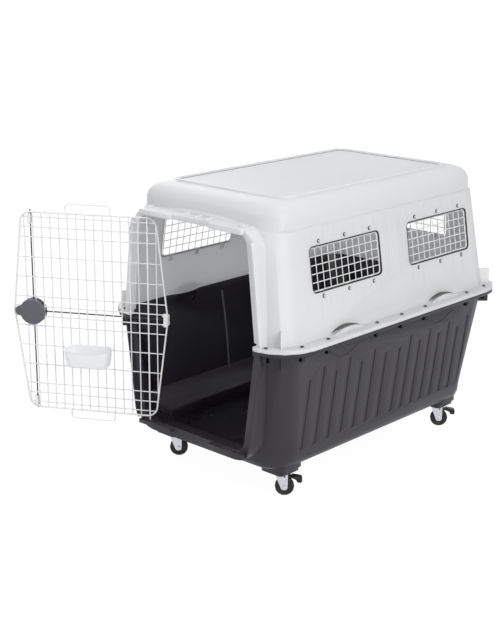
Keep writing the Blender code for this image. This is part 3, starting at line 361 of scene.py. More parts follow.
looks = {
    "canopy": {"name": "canopyPlastic", "low": (0.81, 0.815, 0.825), "high": (0.86, 0.862, 0.87),
               "rough": 0.42, "roughSpread": 0.10, "mottleScale": 9.0, "grainScale": 900.0,
               "grainStrength": 0.12, "grainDepth": 0.0004, "edge": 0.0014, "sheer": 0.36},
    "tray": {"name": "trayPlastic", "low": (0.027, 0.024, 0.030), "high": (0.035, 0.032, 0.039),
             "rough": 0.38, "roughSpread": 0.16, "mottleScale": 14.0, "grainScale": 1100.0,
             "grainStrength": 0.22, "grainDepth": 0.0004, "edge": 0.003, "specular": 0.3},
    # the tray's plastic, darker as painted shade inside the cabin, and glossier
    "cabin": {"name": "cabinPlastic", "low": (0.011, 0.009, 0.012), "high": (0.019, 0.015, 0.021),
              "rough": 0.27, "roughSpread": 0.12, "mottleScale": 6.0, "grainScale": 1000.0,
              "grainStrength": 0.05, "grainDepth": 0.0003, "edge": 0.002},
    "kerb": {"name": "kerbPlastic", "low": (0.021, 0.016, 0.023), "high": (0.033, 0.026, 0.036),
             "rough": 0.34, "roughSpread": 0.12, "mottleScale": 6.0, "grainScale": 1000.0,
             "grainStrength": 0.05, "grainDepth": 0.0003, "edge": 0.002},
    # painted highlight on the cabin ribs
    "seam": {"name": "cabinSeam", "low": (0.05, 0.048, 0.054), "high": (0.15, 0.147, 0.158),
             "rough": 0.25, "roughSpread": 0.1, "mottleScale": 9.0, "grainScale": 1000.0,
             "grainStrength": 0.05, "grainDepth": 0.0003},
    "bolt": {"name": "darkBoltSteel", "low": (0.11, 0.11, 0.12), "high": (0.20, 0.20, 0.21),
             "rough": 0.4, "roughSpread": 0.2, "mottleScale": 220.0, "grainScale": 2000.0,
             "grainStrength": 0.1, "grainDepth": 0.0002, "metal": 1.0, "edge": 0.0005},
    # painted shade: the dark of hollows, gaps, sockets and recess edges
    "hollow": {"name": "darkHollow", "low": (0.008, 0.008, 0.009), "high": (0.014, 0.014, 0.015),
               "rough": 0.6, "roughSpread": 0.1, "mottleScale": 40.0, "grainScale": 1100.0,
               "grainStrength": 0.2, "grainDepth": 0.0004},
    # painted shade of the roof's fine groove
    "shade": {"name": "shadedThroat", "low": (0.14, 0.14, 0.15), "high": (0.24, 0.24, 0.25),
              "rough": 0.6, "roughSpread": 0.1, "mottleScale": 12.0, "grainScale": 900.0,
              "grainStrength": 0.15, "grainDepth": 0.0004},
    # painted shade in the grip throats
    "throat": {"name": "darkThroat", "low": (0.045, 0.045, 0.042), "high": (0.11, 0.11, 0.10),
               "rough": 0.6, "roughSpread": 0.1, "mottleScale": 12.0, "grainScale": 900.0,
               "grainStrength": 0.15, "grainDepth": 0.0004},
    "latch": {"name": "latchPlastic", "low": (0.085, 0.09, 0.105), "high": (0.11, 0.115, 0.13),
              "rough": 0.42, "roughSpread": 0.12, "mottleScale": 60.0, "grainScale": 1500.0,
              "grainStrength": 0.2, "grainDepth": 0.0003, "edge": 0.001},
    "bowl": {"name": "bowlPlastic", "low": (0.93, 0.935, 0.945), "high": (0.96, 0.963, 0.97),
             "rough": 0.3, "roughSpread": 0.08, "mottleScale": 30.0, "grainScale": 700.0,
             "grainStrength": 0.06, "grainDepth": 0.0003, "edge": 0.001, "sheer": 0.35},
    "guide": {"name": "guidePlastic", "low": (0.82, 0.82, 0.81), "high": (0.87, 0.87, 0.86),
              "rough": 0.45, "roughSpread": 0.1, "mottleScale": 70.0, "grainScale": 1500.0,
              "grainStrength": 0.15, "grainDepth": 0.0003},
    "wire": {"name": "whiteCoatedWire", "low": (0.79, 0.79, 0.80), "high": (0.85, 0.85, 0.855),
             "rough": 0.34, "roughSpread": 0.12, "mottleScale": 45.0, "grainScale": 1800.0,
             "grainStrength": 0.18, "grainDepth": 0.0002, "coat": 0.3, "edge": 0.0005},
    "rod": {"name": "blackCoatedRod", "low": (0.012, 0.012, 0.013), "high": (0.022, 0.022, 0.024),
            "rough": 0.36, "roughSpread": 0.12, "mottleScale": 60.0, "grainScale": 1800.0,
            "grainStrength": 0.2, "grainDepth": 0.0002, "edge": 0.0005},
    "rubber": {"name": "wheelRubber", "low": (0.006, 0.006, 0.007), "high": (0.013, 0.013, 0.014),
               "rough": 0.5, "roughSpread": 0.16, "mottleScale": 80.0, "grainScale": 1600.0,
               "grainStrength": 0.4, "grainDepth": 0.0003, "edge": 0.0015, "specular": 0.35},
    "pedal": {"name": "pedalPlastic", "low": (0.006, 0.006, 0.007), "high": (0.012, 0.012, 0.013),
              "rough": 0.42, "roughSpread": 0.12, "mottleScale": 70.0, "grainScale": 1400.0,
              "grainStrength": 0.25, "grainDepth": 0.0003, "specular": 0.35},
    "zinc": {"name": "zincSteel", "low": (0.50, 0.51, 0.53), "high": (0.70, 0.71, 0.73),
             "rough": 0.30, "roughSpread": 0.2, "mottleScale": 220.0, "grainScale": 2600.0,
             "grainStrength": 0.12, "grainDepth": 0.0002, "metal": 1.0, "edge": 0.0006},
}
finish = {key: mouldedFinish(look) for key, look in looks.items()}
print("finishes made:", len(finish))


# Shells: the moulded halves, with their edges softened
shells = {"canopyEdge": 0.0016, "trayEdge": 0.0014}

canopyShell = softened("canopy", shells["canopyEdge"])
dress(canopyShell, "canopyShell", "crate", finish["canopy"], ["canopy"])
trayShell = softened("tray", shells["trayEdge"])
dress(trayShell, "trayShell", "crate", finish["tray"], ["tray"])
canopyWall = Surface("canopy")
trayWall = Surface("tray")


# Where the canopy's side stands at a height
def canopySide(hand, y, z):
    return canopyWall.meet((hand, y, z), (-hand, 0, 0))[0]


# The inner faces of the tray take a darker and glossier copy of its plastic: the darker colour is painted
# shade
cabin = {"halfX": 0.31, "halfY": 0.475, "bottom": 0.001, "top": 0.366,
         "outward": 0.02, "level": 0.5, "under": -0.3}


def shadeCabinFaces():
    trayShell.data.materials.append(finish["cabin"])
    for face in trayShell.data.polygons:
        center, normal = face.center, face.normal
        inward = normal.x * center.x + normal.y * center.y < cabin["outward"] or normal.z > cabin["level"]
        inside = abs(center.x) < cabin["halfX"] and abs(center.y) < cabin["halfY"]
        between = cabin["bottom"] < center.z < cabin["top"] and normal.z > cabin["under"]
        if inward and inside and between:
            face.material_index = 1


shadeCabinFaces()
print("shells made")


# Rivets that hold the window grilles: a dark ring under each domed grey head, painted shade round the rivet
window = {"centersY": (-0.195, 0.239), "centerZ": 0.5605, "halfWidth": 0.152, "halfHeight": 0.0625,
          "radius": 0.014, "steps": 8}
rivet = {
    "offsets": (-0.11, 0.0, 0.11), "above": 0.0740, "lift": 0.0004,
    "washerRadius": 0.0058, "washerDepth": 0.0012, "washerEdge": 0.0005,
    "headRadius": 0.0036, "headDepth": 0.0030, "headEdge": 0.0014,
}


def disc(radius, depth, edge, sides=20):
    spot = (0, 0, depth / 2)
    bpy.ops.mesh.primitive_cylinder_add(vertices=sides, radius=radius, depth=depth, location=spot)
    return bevelEdges(applyPlace(bpy.context.object), edge, angle=40)


def buildRivets():
    shadeRing = disc(rivet["washerRadius"], rivet["washerDepth"], rivet["washerEdge"])
    head = disc(rivet["headRadius"], rivet["headDepth"], rivet["headEdge"])
    rows = {"right": [], "left": [], "rear": []}
    for side in (-1, 1):
        z = window["centerZ"] + side * rivet["above"]
        for hand, label in hands:
            for middle in window["centersY"]:
                for offset in rivet["offsets"]:
                    rows[label].append(canopyWall.meet((hand, middle + offset, z), (-hand, 0, 0)))
        for offset in rivet["offsets"]:
            rows["rear"].append(canopyWall.meet((offset, 1, z), (0, -1, 0)))
    for label, spots in rows.items():
        rings = joined([copied(shadeRing, standing(spot, normal)) for spot, normal in spots])
        heads = joined([copied(head, standing(spot, normal, -rivet["lift"])) for spot, normal in spots])
        dress(rings, "rivetWashers_" + label, "crate", finish["hollow"])
        dress(heads, "rivetHeads_" + label, "crate", finish["zinc"])
    removed(shadeRing)
    removed(head)


buildRivets()


# A dark wire round each window's cut edge: painted shade of the cut wall and the gap behind it
edgeShade = {"radius": 0.0024, "inset": 0.0006, "depth": 0.0018, "clear": 0.006}


def buildWindowEdgeShades():
    half, tall = window["halfWidth"] - edgeShade["inset"], window["halfHeight"] - edgeShade["inset"]
    ring = roundCorners(rectangle(half, tall), [window["radius"]] * 4, window["steps"])
    z, reach = window["centerZ"], tall + edgeShade["clear"]
    for hand, label in hands:
        for middle, end in zip(window["centersY"], ("front", "rear")):
            upper = canopySide(hand, middle, z + reach).x
            lower = canopySide(hand, middle, z - reach).x
            lean = (upper - lower) / (2 * reach)
            plane = (upper + lower) / 2 - hand * edgeShade["depth"]
            points = [(plane + v * lean, middle + u, z + v) for u, v in ring]
            edge = bentWire(points, edgeShade["radius"], True)
            dress(edge, "windowCutEdge_" + label + "_" + end, "crate", finish["hollow"])


buildWindowEdgeShades()


# Fine moulding lines that run up and down the canopy's sides, round the windows
lines = {
    "width": 0.0009, "proud": 0.0004, "sway": 0.05,
    "runs": (
        {"low": 0.632, "step": 0.004, "pattern": (0, 1, 2), "high": 0.668,
         "places": (-0.330, -0.285, -0.240, -0.155, -0.112, -0.062, 0.095, 0.180, 0.262, 0.322)},
        {"low": 0.485, "step": 0.012, "pattern": (0, 1), "high": 0.668,
         "places": (-0.018, -0.006, 0.046, 0.058)},
        {"low": 0.425, "step": 0.011, "pattern": (0, 3, 2, 1), "high": 0.484,
         "places": (-0.318, -0.276, -0.228, -0.168, -0.135, -0.098, -0.052,
                    0.100, 0.150, 0.205, 0.258, 0.306, 0.352)},
    ),
}


def mouldLine(hand, y, low, high):
    foot = canopySide(hand, y, low)
    rise = canopySide(hand, y, high) - foot
    if abs(rise.x) > lines["sway"]:  # one end would fall through a window
        return []
    half = lines["width"] / 2
    strip = block((-lines["proud"], -half, 0), (lines["proud"], half, rise.z))
    slant = Matrix.Identity(4)
    slant[0][2] = rise.x / rise.z
    return [moved(strip, Matrix.Translation(foot) @ slant)]


def buildMouldLines():
    for hand, label in hands:
        strips = []
        for run in lines["runs"]:
            for index, y in enumerate(run["places"]):
                low = run["low"] + run["step"] * run["pattern"][index % len(run["pattern"])]
                strips += mouldLine(hand, y, low, run["high"])
        dress(joined(strips), "mouldLines_" + label, "crate", finish["canopy"])


buildMouldLines()


# Roof border: small domes at its corners and a short pad at the middle of each end
roof = {
    "halfX": 0.203, "halfY": 0.371, "z": 0.7525, "inset": 0.007, "dome": 0.008, "rise": 0.0022,
    "segments": 20, "rings": 10,
    "padHalf": 0.018, "padFront": 0.005, "padRear": 0.001, "padDeep": 0.003, "padSink": 0.0002,
    "padEdge": 0.001,
}


def buildRoofMarks():
    marks = []
    for x in (-1, 1):
        for y in (-1, 1):
            bpy.ops.mesh.primitive_uv_sphere_add(
                segments=roof["segments"], ring_count=roof["rings"], radius=roof["dome"]
            )
            dome = bpy.context.object
            dome.scale = (1, 1, roof["rise"] / roof["dome"])
            spotX, spotY = roof["halfX"] - roof["inset"], roof["halfY"] - roof["inset"]
            dome.location = (x * spotX, y * spotY, roof["z"] - roof["rise"])
            marks.append(applyPlace(dome))
    for y in (-1, 1):
        low = (-roof["padHalf"], y * roof["halfY"] - roof["padFront"], roof["z"] - roof["padDeep"])
        high = (roof["padHalf"], y * roof["halfY"] + roof["padRear"], roof["z"] - roof["padSink"])
        marks.append(bevelEdges(block(low, high), roof["padEdge"]))
    dress(joined(marks), "roofMarks", "crate", finish["canopy"])


buildRoofMarks()


# Roof: a thin grey wire just inside the raised border, painted shade of a fine groove
groove = {"halfX": 0.2006, "halfY": 0.3686, "radius": 0.024, "steps": 8, "z": 0.7478, "wire": 0.0010}


def buildRoofGroove():
    ring = roundCorners(rectangle(groove["halfX"], groove["halfY"]), [groove["radius"]] * 4, groove["steps"])
    line = bentWire([(x, y, groove["z"]) for x, y in ring], groove["wire"], True, sides=1)
    dress(line, "roofGroove", "crate", finish["shade"])


buildRoofGroove()


# Lintel: three ribs on its shelf and a rounded block near each end
lintel = {
    "above": 0.74, "ribsX": (-0.042, 0.006, 0.052), "width": 0.003, "backY": -0.466, "frontY": -0.505,
    "high": 0.006, "sink": 0.001, "edge": 0.001,
    "blocks": ((-0.188, 0.012), (0.170, 0.018)), "blockY": -0.485, "blockHalf": 0.010, "blockSink": 0.002,
    "blockHigh": 0.005, "blockEdge": 0.0022,
}


def shelfSpot(x, y):
    return canopyWall.meet((x, y, lintel["above"]), (0, 0, -1))[0]


def buildLintelRibs():
    ribs = []
    for x in lintel["ribsX"]:
        back, front = shelfSpot(x, lintel["backY"]), shelfSpot(x, lintel["frontY"])
        shelf = min(front.z, back.z)
        low = (x - lintel["width"] / 2, front.y, shelf - lintel["sink"])
        high = (x + lintel["width"] / 2, back.y, shelf + lintel["high"])
        ribs.append(bevelEdges(block(low, high), lintel["edge"]))
    for x, length in lintel["blocks"]:
        spot = shelfSpot(x, lintel["blockY"])
        low = (x - length / 2, spot.y - lintel["blockHalf"], spot.z - lintel["blockSink"])
        high = (x + length / 2, spot.y + lintel["blockHalf"], spot.z + lintel["blockHigh"])
        ribs.append(bevelEdges(block(low, high), lintel["blockEdge"], segments=3))
    dress(joined(ribs), "lintelRibs", "crate", finish["canopy"])


buildLintelRibs()


# Nut pockets: a dark box under the tray's flange at each shell bolt, painted shade of the pocket's hollow,
# with tray-coloured ribs
pocket = {"width": 0.0125, "depth": 0.011, "top": 0.3565, "bottom": 0.338, "edge": 0.001, "endY": 0.47,
          "rib": 0.0022, "proud": 0.0007, "ribEdge": 0.0004}
boltBoxes = [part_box("shell_bolt_%02d" % index) for index in range(1, 20)]


def buildNutPockets():
    x, y = pocket["depth"] / 2, pocket["width"] / 2
    ribX, ribHalf = x + pocket["proud"], pocket["rib"] / 2
    boxes, ribs = [], []
    for low, high in boltBoxes:
        middle = (low + high) / 2
        turn = Matrix.Rotation(pi / 2, 4, "Z") if abs(middle.y) > pocket["endY"] else upright
        spot = Matrix.Translation((middle.x, middle.y, 0)) @ turn
        box = block((-x, -y, pocket["bottom"]), (x, y, pocket["top"]))
        boxes.append(moved(bevelEdges(box, pocket["edge"]), spot))
        for side in (-1, 0, 1):
            ribY = side * (y - ribHalf)
            rib = block((-ribX, ribY - ribHalf, pocket["bottom"] - pocket["proud"]),
                        (ribX, ribY + ribHalf, pocket["top"]))
            ribs.append(moved(bevelEdges(rib, pocket["ribEdge"]), spot))
    dress(joined(boxes), "nutPockets", "crate", finish["hollow"])
    dress(joined(ribs), "nutPocketRibs", "crate", finish["tray"])


buildNutPockets()


# Hand grips: a dark sheet in the throat behind each raised lip, painted shade
grip = {"centersY": (-0.2275, 0.2275), "length": 0.128, "footZ": 0.3795, "lipRise": 0.009, "throat": 0.004,
        "reach": 0.010, "outsideX": 0.325, "lift": 0.0006, "steps": 16, "thick": 0.0008}


def gripThroatShade(hand, middle):
    points, faces = [], []
    for step in range(grip["steps"] + 1):
        arch = sin(pi * step / grip["steps"])
        y = middle + (step / grip["steps"] - 0.5) * grip["length"]
        low = grip["footZ"] + grip["lipRise"] * arch
        start = (hand * grip["outsideX"], y, low + grip["throat"] * arch)
        spot = canopyWall.meet(start, (-hand, 0, 0))[0]
        points += [(spot.x + hand * grip["reach"] * arch, y, low), (spot.x + hand * grip["lift"], y, spot.z)]
    for step in range(grip["steps"]):
        faces.append((2 * step, 2 * step + 2, 2 * step + 3, 2 * step + 1))
    mesh = bpy.data.meshes.new("throat")
    mesh.from_pydata(points, [], faces)
    strip = bpy.data.objects.new("throat", mesh)
    bpy.context.scene.collection.objects.link(strip)
    wall = strip.modifiers.new("Wall", "SOLIDIFY")
    wall.thickness = grip["thick"]
    wall.offset = 0
    return applyModifiers(strip)


def buildGripThroatShades():
    for hand, label in hands:
        strips = [gripThroatShade(hand, middle) for middle in grip["centersY"]]
        dress(joined(strips), "gripThroats_" + label, "crate", finish["throat"])


buildGripThroatShades()


# Tray: a dark curved wire under each hand grip, painted shade of a groove line
arc = {"length": 0.130, "topZ": 0.326, "sag": 0.026, "radius": 0.0013, "steps": 20}


def buildGripArcs():
    for hand, label in hands:
        grooves = []
        for middle in grip["centersY"]:
            points = []
            for step in range(arc["steps"] + 1):
                share = step / arc["steps"]
                y = middle + (share - 0.5) * arc["length"]
                z = arc["topZ"] - arc["sag"] * sin(pi * share)
                points.append(trayWall.meet((hand, y, z), (-hand, 0, 0))[0])
            grooves.append(bentWire(points, arc["radius"], False, sides=1))
        dress(joined(grooves), "gripGrooves_" + label, "crate", finish["hollow"])


buildGripArcs()


# Shell bolts: a dark six-sided disc in each head, painted shade of a socket
socketShade = {"radius": 0.0036, "depth": 0.0006, "sink": 0.0002, "edge": 0.0002, "sides": 6}


def buildBoltSocketShades():
    marks = []
    for low, high in boltBoxes:
        mark = disc(socketShade["radius"], socketShade["depth"], socketShade["edge"], socketShade["sides"])
        spot = ((low.x + high.x) / 2, (low.y + high.y) / 2, high.z - socketShade["sink"])
        marks.append(moved(mark, Matrix.Translation(spot)))
    dress(joined(marks), "boltSockets", "crate", finish["hollow"])


buildBoltSocketShades()


# Cabin floor: a rounded kerb where the tray's walls meet its floor
kerb = {
    "halfX": 0.2800, "halfY": 0.4652, "radius": 0.081, "steps": 10, "z": 0.100, "weld": 0.00005,
    "lid": 0.0001, "doorLow": (-0.198, -0.60, 0.03), "doorHigh": (0.198, -0.40, 0.20),
    "level": 0.9, "smooth": 50,
    "profile": ((0.000, 0.100), (0.008, 0.084), (0.020, 0.066), (0.034, 0.053), (0.045, 0.047),
                (0.051, 0.038), (0.054, 0.022), (0.055, 0.0045), (0.032, 0.0045), (0.012, 0.020),
                (0.005, 0.045), (0.000, 0.100)),
}


def buildKerb():
    halfX, halfY, z = kerb["halfX"], kerb["halfY"], kerb["z"]
    bpy.ops.mesh.primitive_plane_add(size=1, location=(0, 0, z))
    made = bpy.context.object
    made.scale = (2 * halfX, 2 * halfY, 1)
    applyPlace(made)
    startEdit(made)
    bpy.ops.mesh.bevel(affect="VERTICES", offset=kerb["radius"], segments=kerb["steps"])
    for inset, level in kerb["profile"][1:]:  # down the rounded face, under it and up the wall again
        nextX, nextY = kerb["halfX"] - inset, kerb["halfY"] - inset
        bpy.ops.mesh.extrude_region_move(TRANSFORM_OT_translate={"value": (0, 0, level - z)})
        bpy.ops.transform.resize(value=(nextX / halfX, nextY / halfY, 1), center_override=(0, 0, level))
        halfX, halfY, z = nextX, nextY, level
    bpy.ops.mesh.delete(type="FACE")
    endEdit()
    lidZ = kerb["z"] - kerb["lid"]  # the lid that the first extrude leaves behind
    startEdit(made, lambda center, normal: abs(normal.z) > kerb["level"] and center.z > lidZ)
    bpy.ops.mesh.delete(type="FACE")
    bpy.ops.mesh.select_all(action="SELECT")
    bpy.ops.mesh.remove_doubles(threshold=kerb["weld"])
    bpy.ops.mesh.normals_make_consistent(inside=False)
    endEdit()
    cutter = block(kerb["doorLow"], kerb["doorHigh"])
    opening = made.modifiers.new("Doorway", "BOOLEAN")
    opening.operation = "DIFFERENCE"
    opening.object = cutter
    applyModifiers(made)
    removed(cutter)
    dress(made, "cabinKerb", "crate", finish["kerb"], angle=kerb["smooth"])


buildKerb()


# Cabin walls: a rounded rib up the middle of each side, in a lighter colour that is a painted highlight
rib = {"y": -0.070, "bend": 0.004, "lowZ": 0.086, "highZ": 0.340, "radius": 0.0042, "proud": 0.0022,
       "steps": 10}


def buildCabinRibs():
    ribs = []
    for hand in (-1, 1):
        points = []
        for step in range(rib["steps"] + 1):
            share = step / rib["steps"]
            y = rib["y"] + rib["bend"] * sin(pi * share)
            z = rib["lowZ"] + (rib["highZ"] - rib["lowZ"]) * share
            spot = trayWall.meet((0, y, z), (hand, 0, 0))[0]
            points.append((spot.x - hand * rib["proud"], y, z))
        ribs.append(bentWire(points, rib["radius"], False, sides=3))
    dress(joined(ribs), "cabinRibs", "crate", finish["seam"])


buildCabinRibs()
print("shell details made")


# Door: round wires in door coordinates, x from the hinge line, then swung open
door = {
    "hinge": (-0.1745, -0.511), "openAngle": -150.0, "halfWidth": 0.232, "topWidth": 0.200,
    "footWidth": 0.193, "height": 0.588, "middleZ": 0.367, "corner": 0.030, "waist": 0.02,
    "wire": 0.0016, "border": 0.0025, "hingeWire": 0.0023, "pinReach": 0.0175, "layer": 0.00145,
    "count": 16, "hingeIndex": 1, "firstInset": 0.0314, "lastInset": 0.0411, "rungSteps": 20,
    "rungs": (0.5, 1.5, 2.5, 4.5, 6.5, 8.5, 9.5, 10.5, 11.5, 13.5, 15.5, 17.5, 18.5, 19.5),
    "loopHalf": 0.067, "loopHeight": 0.027, "loopCorner": 0.010, "smooth": 50,
}
swing = Matrix.Translation((*door["hinge"], 0)) @ Matrix.Rotation(radians(door["openAngle"]), 4, "Z")
hingeX = door["hinge"][0]
doorPitch = (2 * door["halfWidth"] - door["firstInset"] - door["lastInset"]) / (door["count"] - 1)
doorFoot = door["middleZ"] - door["height"] / 2
doorTop = door["middleZ"] + door["height"] / 2


def doorOutline():
    foot, top = (door["footWidth"], doorFoot), (door["topWidth"], doorTop)
    right = [foot, (door["halfWidth"], door["middleZ"]), top]
    left = [(-x, z) for x, z in reversed(right)]
    bend, waist = door["corner"], door["waist"]
    return roundCorners(right + left, [bend, waist, bend, bend, waist, bend])


def doorLoop(side):
    half, tall, bend = door["loopHalf"], door["loopHeight"], door["loopCorner"]
    edge = door["middleZ"] + side * door["height"] / 2
    path = roundCorners([(-half, 0), (half, 0), (half, tall), (-half, tall)], [0, 0, bend, bend])
    path = path[1:] + path[:1]  # from one foot of the loop to the other
    points = [(x - hingeX, -door["layer"], edge + side * z) for x, z in path]
    return bentWire(points, door["wire"], False)


def buildDoor():
    outline = doorOutline()
    layer = door["layer"]
    parts = [bentWire([(x - hingeX, 0, z) for x, z in outline], door["border"], True, sides=3)]
    for index in range(door["count"]):
        x = door["firstInset"] - door["halfWidth"] + index * doorPitch
        if index != door["hingeIndex"]:  # the thicker hinge wire stands there
            low, high = crossings(outline, 0, x)
            parts.append(rod((x - hingeX, layer, low), (x - hingeX, layer, high), door["wire"]))
    for step in door["rungs"]:
        z = doorFoot + step * door["height"] / door["rungSteps"]
        left, right = crossings(outline, 1, z)
        parts.append(rod((left - hingeX, -layer, z), (right - hingeX, -layer, z), door["wire"]))
    pinFoot, pinTop = doorFoot - door["pinReach"], doorTop + door["pinReach"]
    pin = rod((0, 0, pinFoot), (0, 0, pinTop), door["hingeWire"], sides=14)
    parts.append(bevelEdges(pin, door["hingeWire"] / 3))
    parts += [doorLoop(side) for side in (-1, 1)]
    panel = moved(joined(parts), swing)
    dress(panel, "doorWires", "door", finish["wire"], ["door_panel"], door["smooth"])


buildDoor()
print("door made")


# Bowl: hooked over a rung, drawn up ring by ring from its foot
bowl = {
    "rungZ": 0.2641, "centerX": 0.16965, "centerY": 0.04135, "rimAbove": 0.014, "topHalf": 0.070,
    "depth": 0.076, "footHalf": 0.060, "footDepth": 0.058, "footRound": 0.006, "footSteps": 3,
    "height": 0.051, "steps": 5, "corner": 0.022, "cornerSteps": 8, "wall": 0.0022,
    "rimWidth": 0.005, "rimDrop": 0.003, "rimRound": 0.0008, "play": 0.0003,
    "hookWidth": 0.010, "hookThick": 0.0025, "hookDrop": 0.010, "hookLap": 0.001, "hookEdge": 0.0006,
    "smooth": 40,
}


# Half width, half depth and height of each ring above the foot
def bowlRings(foot, top):
    footX, footY, bend = bowl["footHalf"], bowl["footDepth"] / 2, bowl["footRound"]
    rimX, rimY, lip = bowl["topHalf"], bowl["depth"] / 2, bowl["rimRound"]
    wallX, wallY, wallTop = rimX - bowl["rimWidth"], rimY - bowl["rimWidth"], top - bowl["rimDrop"]
    rings = []
    for step in range(1, bowl["footSteps"] + 1):
        turn = pi / 2 * step / bowl["footSteps"]
        inset = bend * (1 - sin(turn))
        rings.append((footX - inset, footY - inset, foot + bend * (1 - cos(turn))))
    for step in range(1, bowl["steps"] + 1):
        share = step / bowl["steps"]
        z = foot + bend + (wallTop - foot - bend) * share
        rings.append((footX + (wallX - footX) * share, footY + (wallY - footY) * share, z))
    return rings + [(rimX - lip, rimY - lip, top - lip), (rimX, rimY, wallTop)]


def bowlShell(middle, foot, top):
    halfX, halfY = bowl["footHalf"] - bowl["footRound"], bowl["footDepth"] / 2 - bowl["footRound"]
    bpy.ops.mesh.primitive_plane_add(size=1, location=middle + Vector((0, 0, foot)))
    shell = bpy.context.object
    shell.scale = (2 * halfX, 2 * halfY, 1)
    applyPlace(shell)
    startEdit(shell)
    bend = bowl["corner"] - bowl["footRound"]
    bpy.ops.mesh.bevel(affect="VERTICES", offset=bend, segments=bowl["cornerSteps"])
    z = foot
    for nextX, nextY, nextZ in bowlRings(foot, top):
        grow = (nextX / halfX, nextY / halfY, 1)
        bpy.ops.mesh.extrude_region_move(TRANSFORM_OT_translate={"value": (0, 0, nextZ - z)})
        bpy.ops.transform.resize(value=grow, center_override=(middle.x, middle.y, nextZ))
        halfX, halfY, z = nextX, nextY, nextZ
    bpy.ops.mesh.delete(type="FACE")
    bpy.ops.mesh.select_all(action="SELECT")
    bpy.ops.mesh.normals_make_consistent(inside=False)
    endEdit()
    wall = shell.modifiers.new("Wall", "SOLIDIFY")
    wall.thickness = bowl["wall"]
    wall.offset = -1
    return applyModifiers(shell)


def bowlHook(x, wallY):
    low, high = x - bowl["hookWidth"] / 2, x + bowl["hookWidth"] / 2
    hookZ = bowl["rungZ"] + door["wire"] + bowl["play"]
    legY = -(door["layer"] + door["wire"] + bowl["play"])
    outY = legY - bowl["hookThick"]
    arm = block((low, outY, hookZ), (high, wallY, hookZ + bowl["hookThick"]))
    leg = block((low, outY, bowl["rungZ"] - bowl["hookDrop"]), (high, legY, hookZ + bowl["hookLap"]))
    return [bevelEdges(arm, bowl["hookEdge"]), bevelEdges(leg, bowl["hookEdge"])]


def buildBowl():
    top = bowl["rungZ"] + bowl["rimAbove"]
    middle = Vector((bowl["centerX"], bowl["centerY"], 0))
    parts = [bowlShell(middle, top - bowl["height"], top)]
    wallY = middle.y - bowl["depth"] / 2 + bowl["rimWidth"]
    for hand in (-1, 1):
        parts += bowlHook(middle.x + hand * doorPitch, wallY)
    made = moved(joined(parts), swing)
    dress(made, "feedingBowl", "bowl", finish["bowl"], ["bowl"], bowl["smooth"])


buildBowl()
print("bowl made")


# Latch: its cover, case and knob, and the guides of its rods
latch = {"edge": 0.0012, "guideEdge": 0.0006}
latchPieces = {
    "latch_cover": ("latchCover", "door", "latch_plastic", "latch", latch["edge"]),
    "latch_case": ("latchCase", "door", "latch_plastic", "latch", latch["edge"]),
    "latch_knob": ("latchKnob", "latch_knob", "latch_plastic", "latch", latch["edge"]),
    "guide_upper": ("rodGuideUpper", "door", "guide_plastic", "guide", latch["guideEdge"]),
    "guide_lower": ("rodGuideLower", "door", "guide_plastic", "guide", latch["guideEdge"]),
    "guide_side": ("rodGuideSide", "door", "guide_plastic", "guide", latch["guideEdge"]),
}
for node, (name, body, slot, look, edge) in latchPieces.items():
    dress(softened(node, edge), name, body, finish[look], [node])
print("latch made")


# White caps over the rod guides, on the side of the door that the dog sees
cap = {
    "wide": 0.010, "frontY": 0.0050, "backY": 0.0031, "edge": 0.0007,
    "sideWide": 0.011, "sideTall": 0.040, "sideShift": 0.004,
    "barZ": 0.013, "barHalf": 0.003, "barReach": 0.003, "barBack": 0.001, "barFront": 0.0012,
}


# A CAD node's box in door coordinates
def doorBox(node):
    spots = [swing.inverted() @ vertex.co for vertex in frame["nodes"][node].data.vertices]
    low = Vector([min(spot[axis] for spot in spots) for axis in range(3)])
    return low, Vector([max(spot[axis] for spot in spots) for axis in range(3)])


def capBlock(x, halfWide, lowZ, highZ, back=0.0, front=0.0):
    low = (x - halfWide, cap["backY"] - back, lowZ)
    return bevelEdges(block(low, (x + halfWide, cap["frontY"] + front, highZ)), cap["edge"])


def buildCaps():
    caps = []
    for node in ("guide_upper", "guide_lower"):
        low, high = doorBox(node)
        caps.append(capBlock((low.x + high.x) / 2, cap["wide"] / 2, low.z, high.z))
    low, high = doorBox("guide_side")
    x, z = (low.x + high.x) / 2 + cap["sideShift"], (low.z + high.z) / 2
    half, tall = cap["sideWide"] / 2, cap["sideTall"] / 2
    caps.append(capBlock(x, half, z - tall, z + tall))
    for side in (-1, 1):
        barZ = z + side * cap["barZ"]
        lowZ, highZ = barZ - cap["barHalf"], barZ + cap["barHalf"]
        caps.append(capBlock(x, half + cap["barReach"], lowZ, highZ, cap["barBack"], cap["barFront"]))
    dress(moved(joined(caps), swing), "guideCaps", "door", finish["guide"])


buildCaps()
print("caps made")


# Casters: each piece on the body that it turns with
casterPieces = {
    "caster_plate_": ("casterPlate_", "crate", "zinc_steel", "zinc", 0.0008),
    "caster_fork_": ("casterFork_", "swivel_", "zinc_steel", "zinc", 0.0006),
    "caster_axle_": ("casterAxle_", "swivel_", "zinc_steel", "zinc", 0.0005),
    "caster_wheel_": ("casterWheel_", "wheel_", "wheel_rubber", "rubber", 0.0008),
    "caster_pedal_": ("brakePedal_", "pedal_", "pedal_plastic", "pedal", 0.0010),
}
for corner in corners:
    for node, (name, body, slot, look, edge) in casterPieces.items():
        carrier = body if body == "crate" else body + corner
        dress(softened(node + corner, edge), name + corner, carrier, finish[look], [node + corner])


# A thick pad round the outer end of each brake pedal, clear of the wheel when it is pressed
pad = {
    "halfWide": 0.0115, "edge": 0.0022, "segments": 3, "angle": 50,
    "footX": 0.2137, "footY": 0.376, "pivotZ": -0.0406, "yaw": 42.8, "trail": 0.013,
    "side": ((0.0200, 0.0018), (0.0470, -0.0030), (0.0500, -0.0055), (0.0490, -0.0180), (0.0455, -0.0200),
             (0.0350, -0.0180), (0.0315, -0.0090), (0.0200, -0.0055)),
}


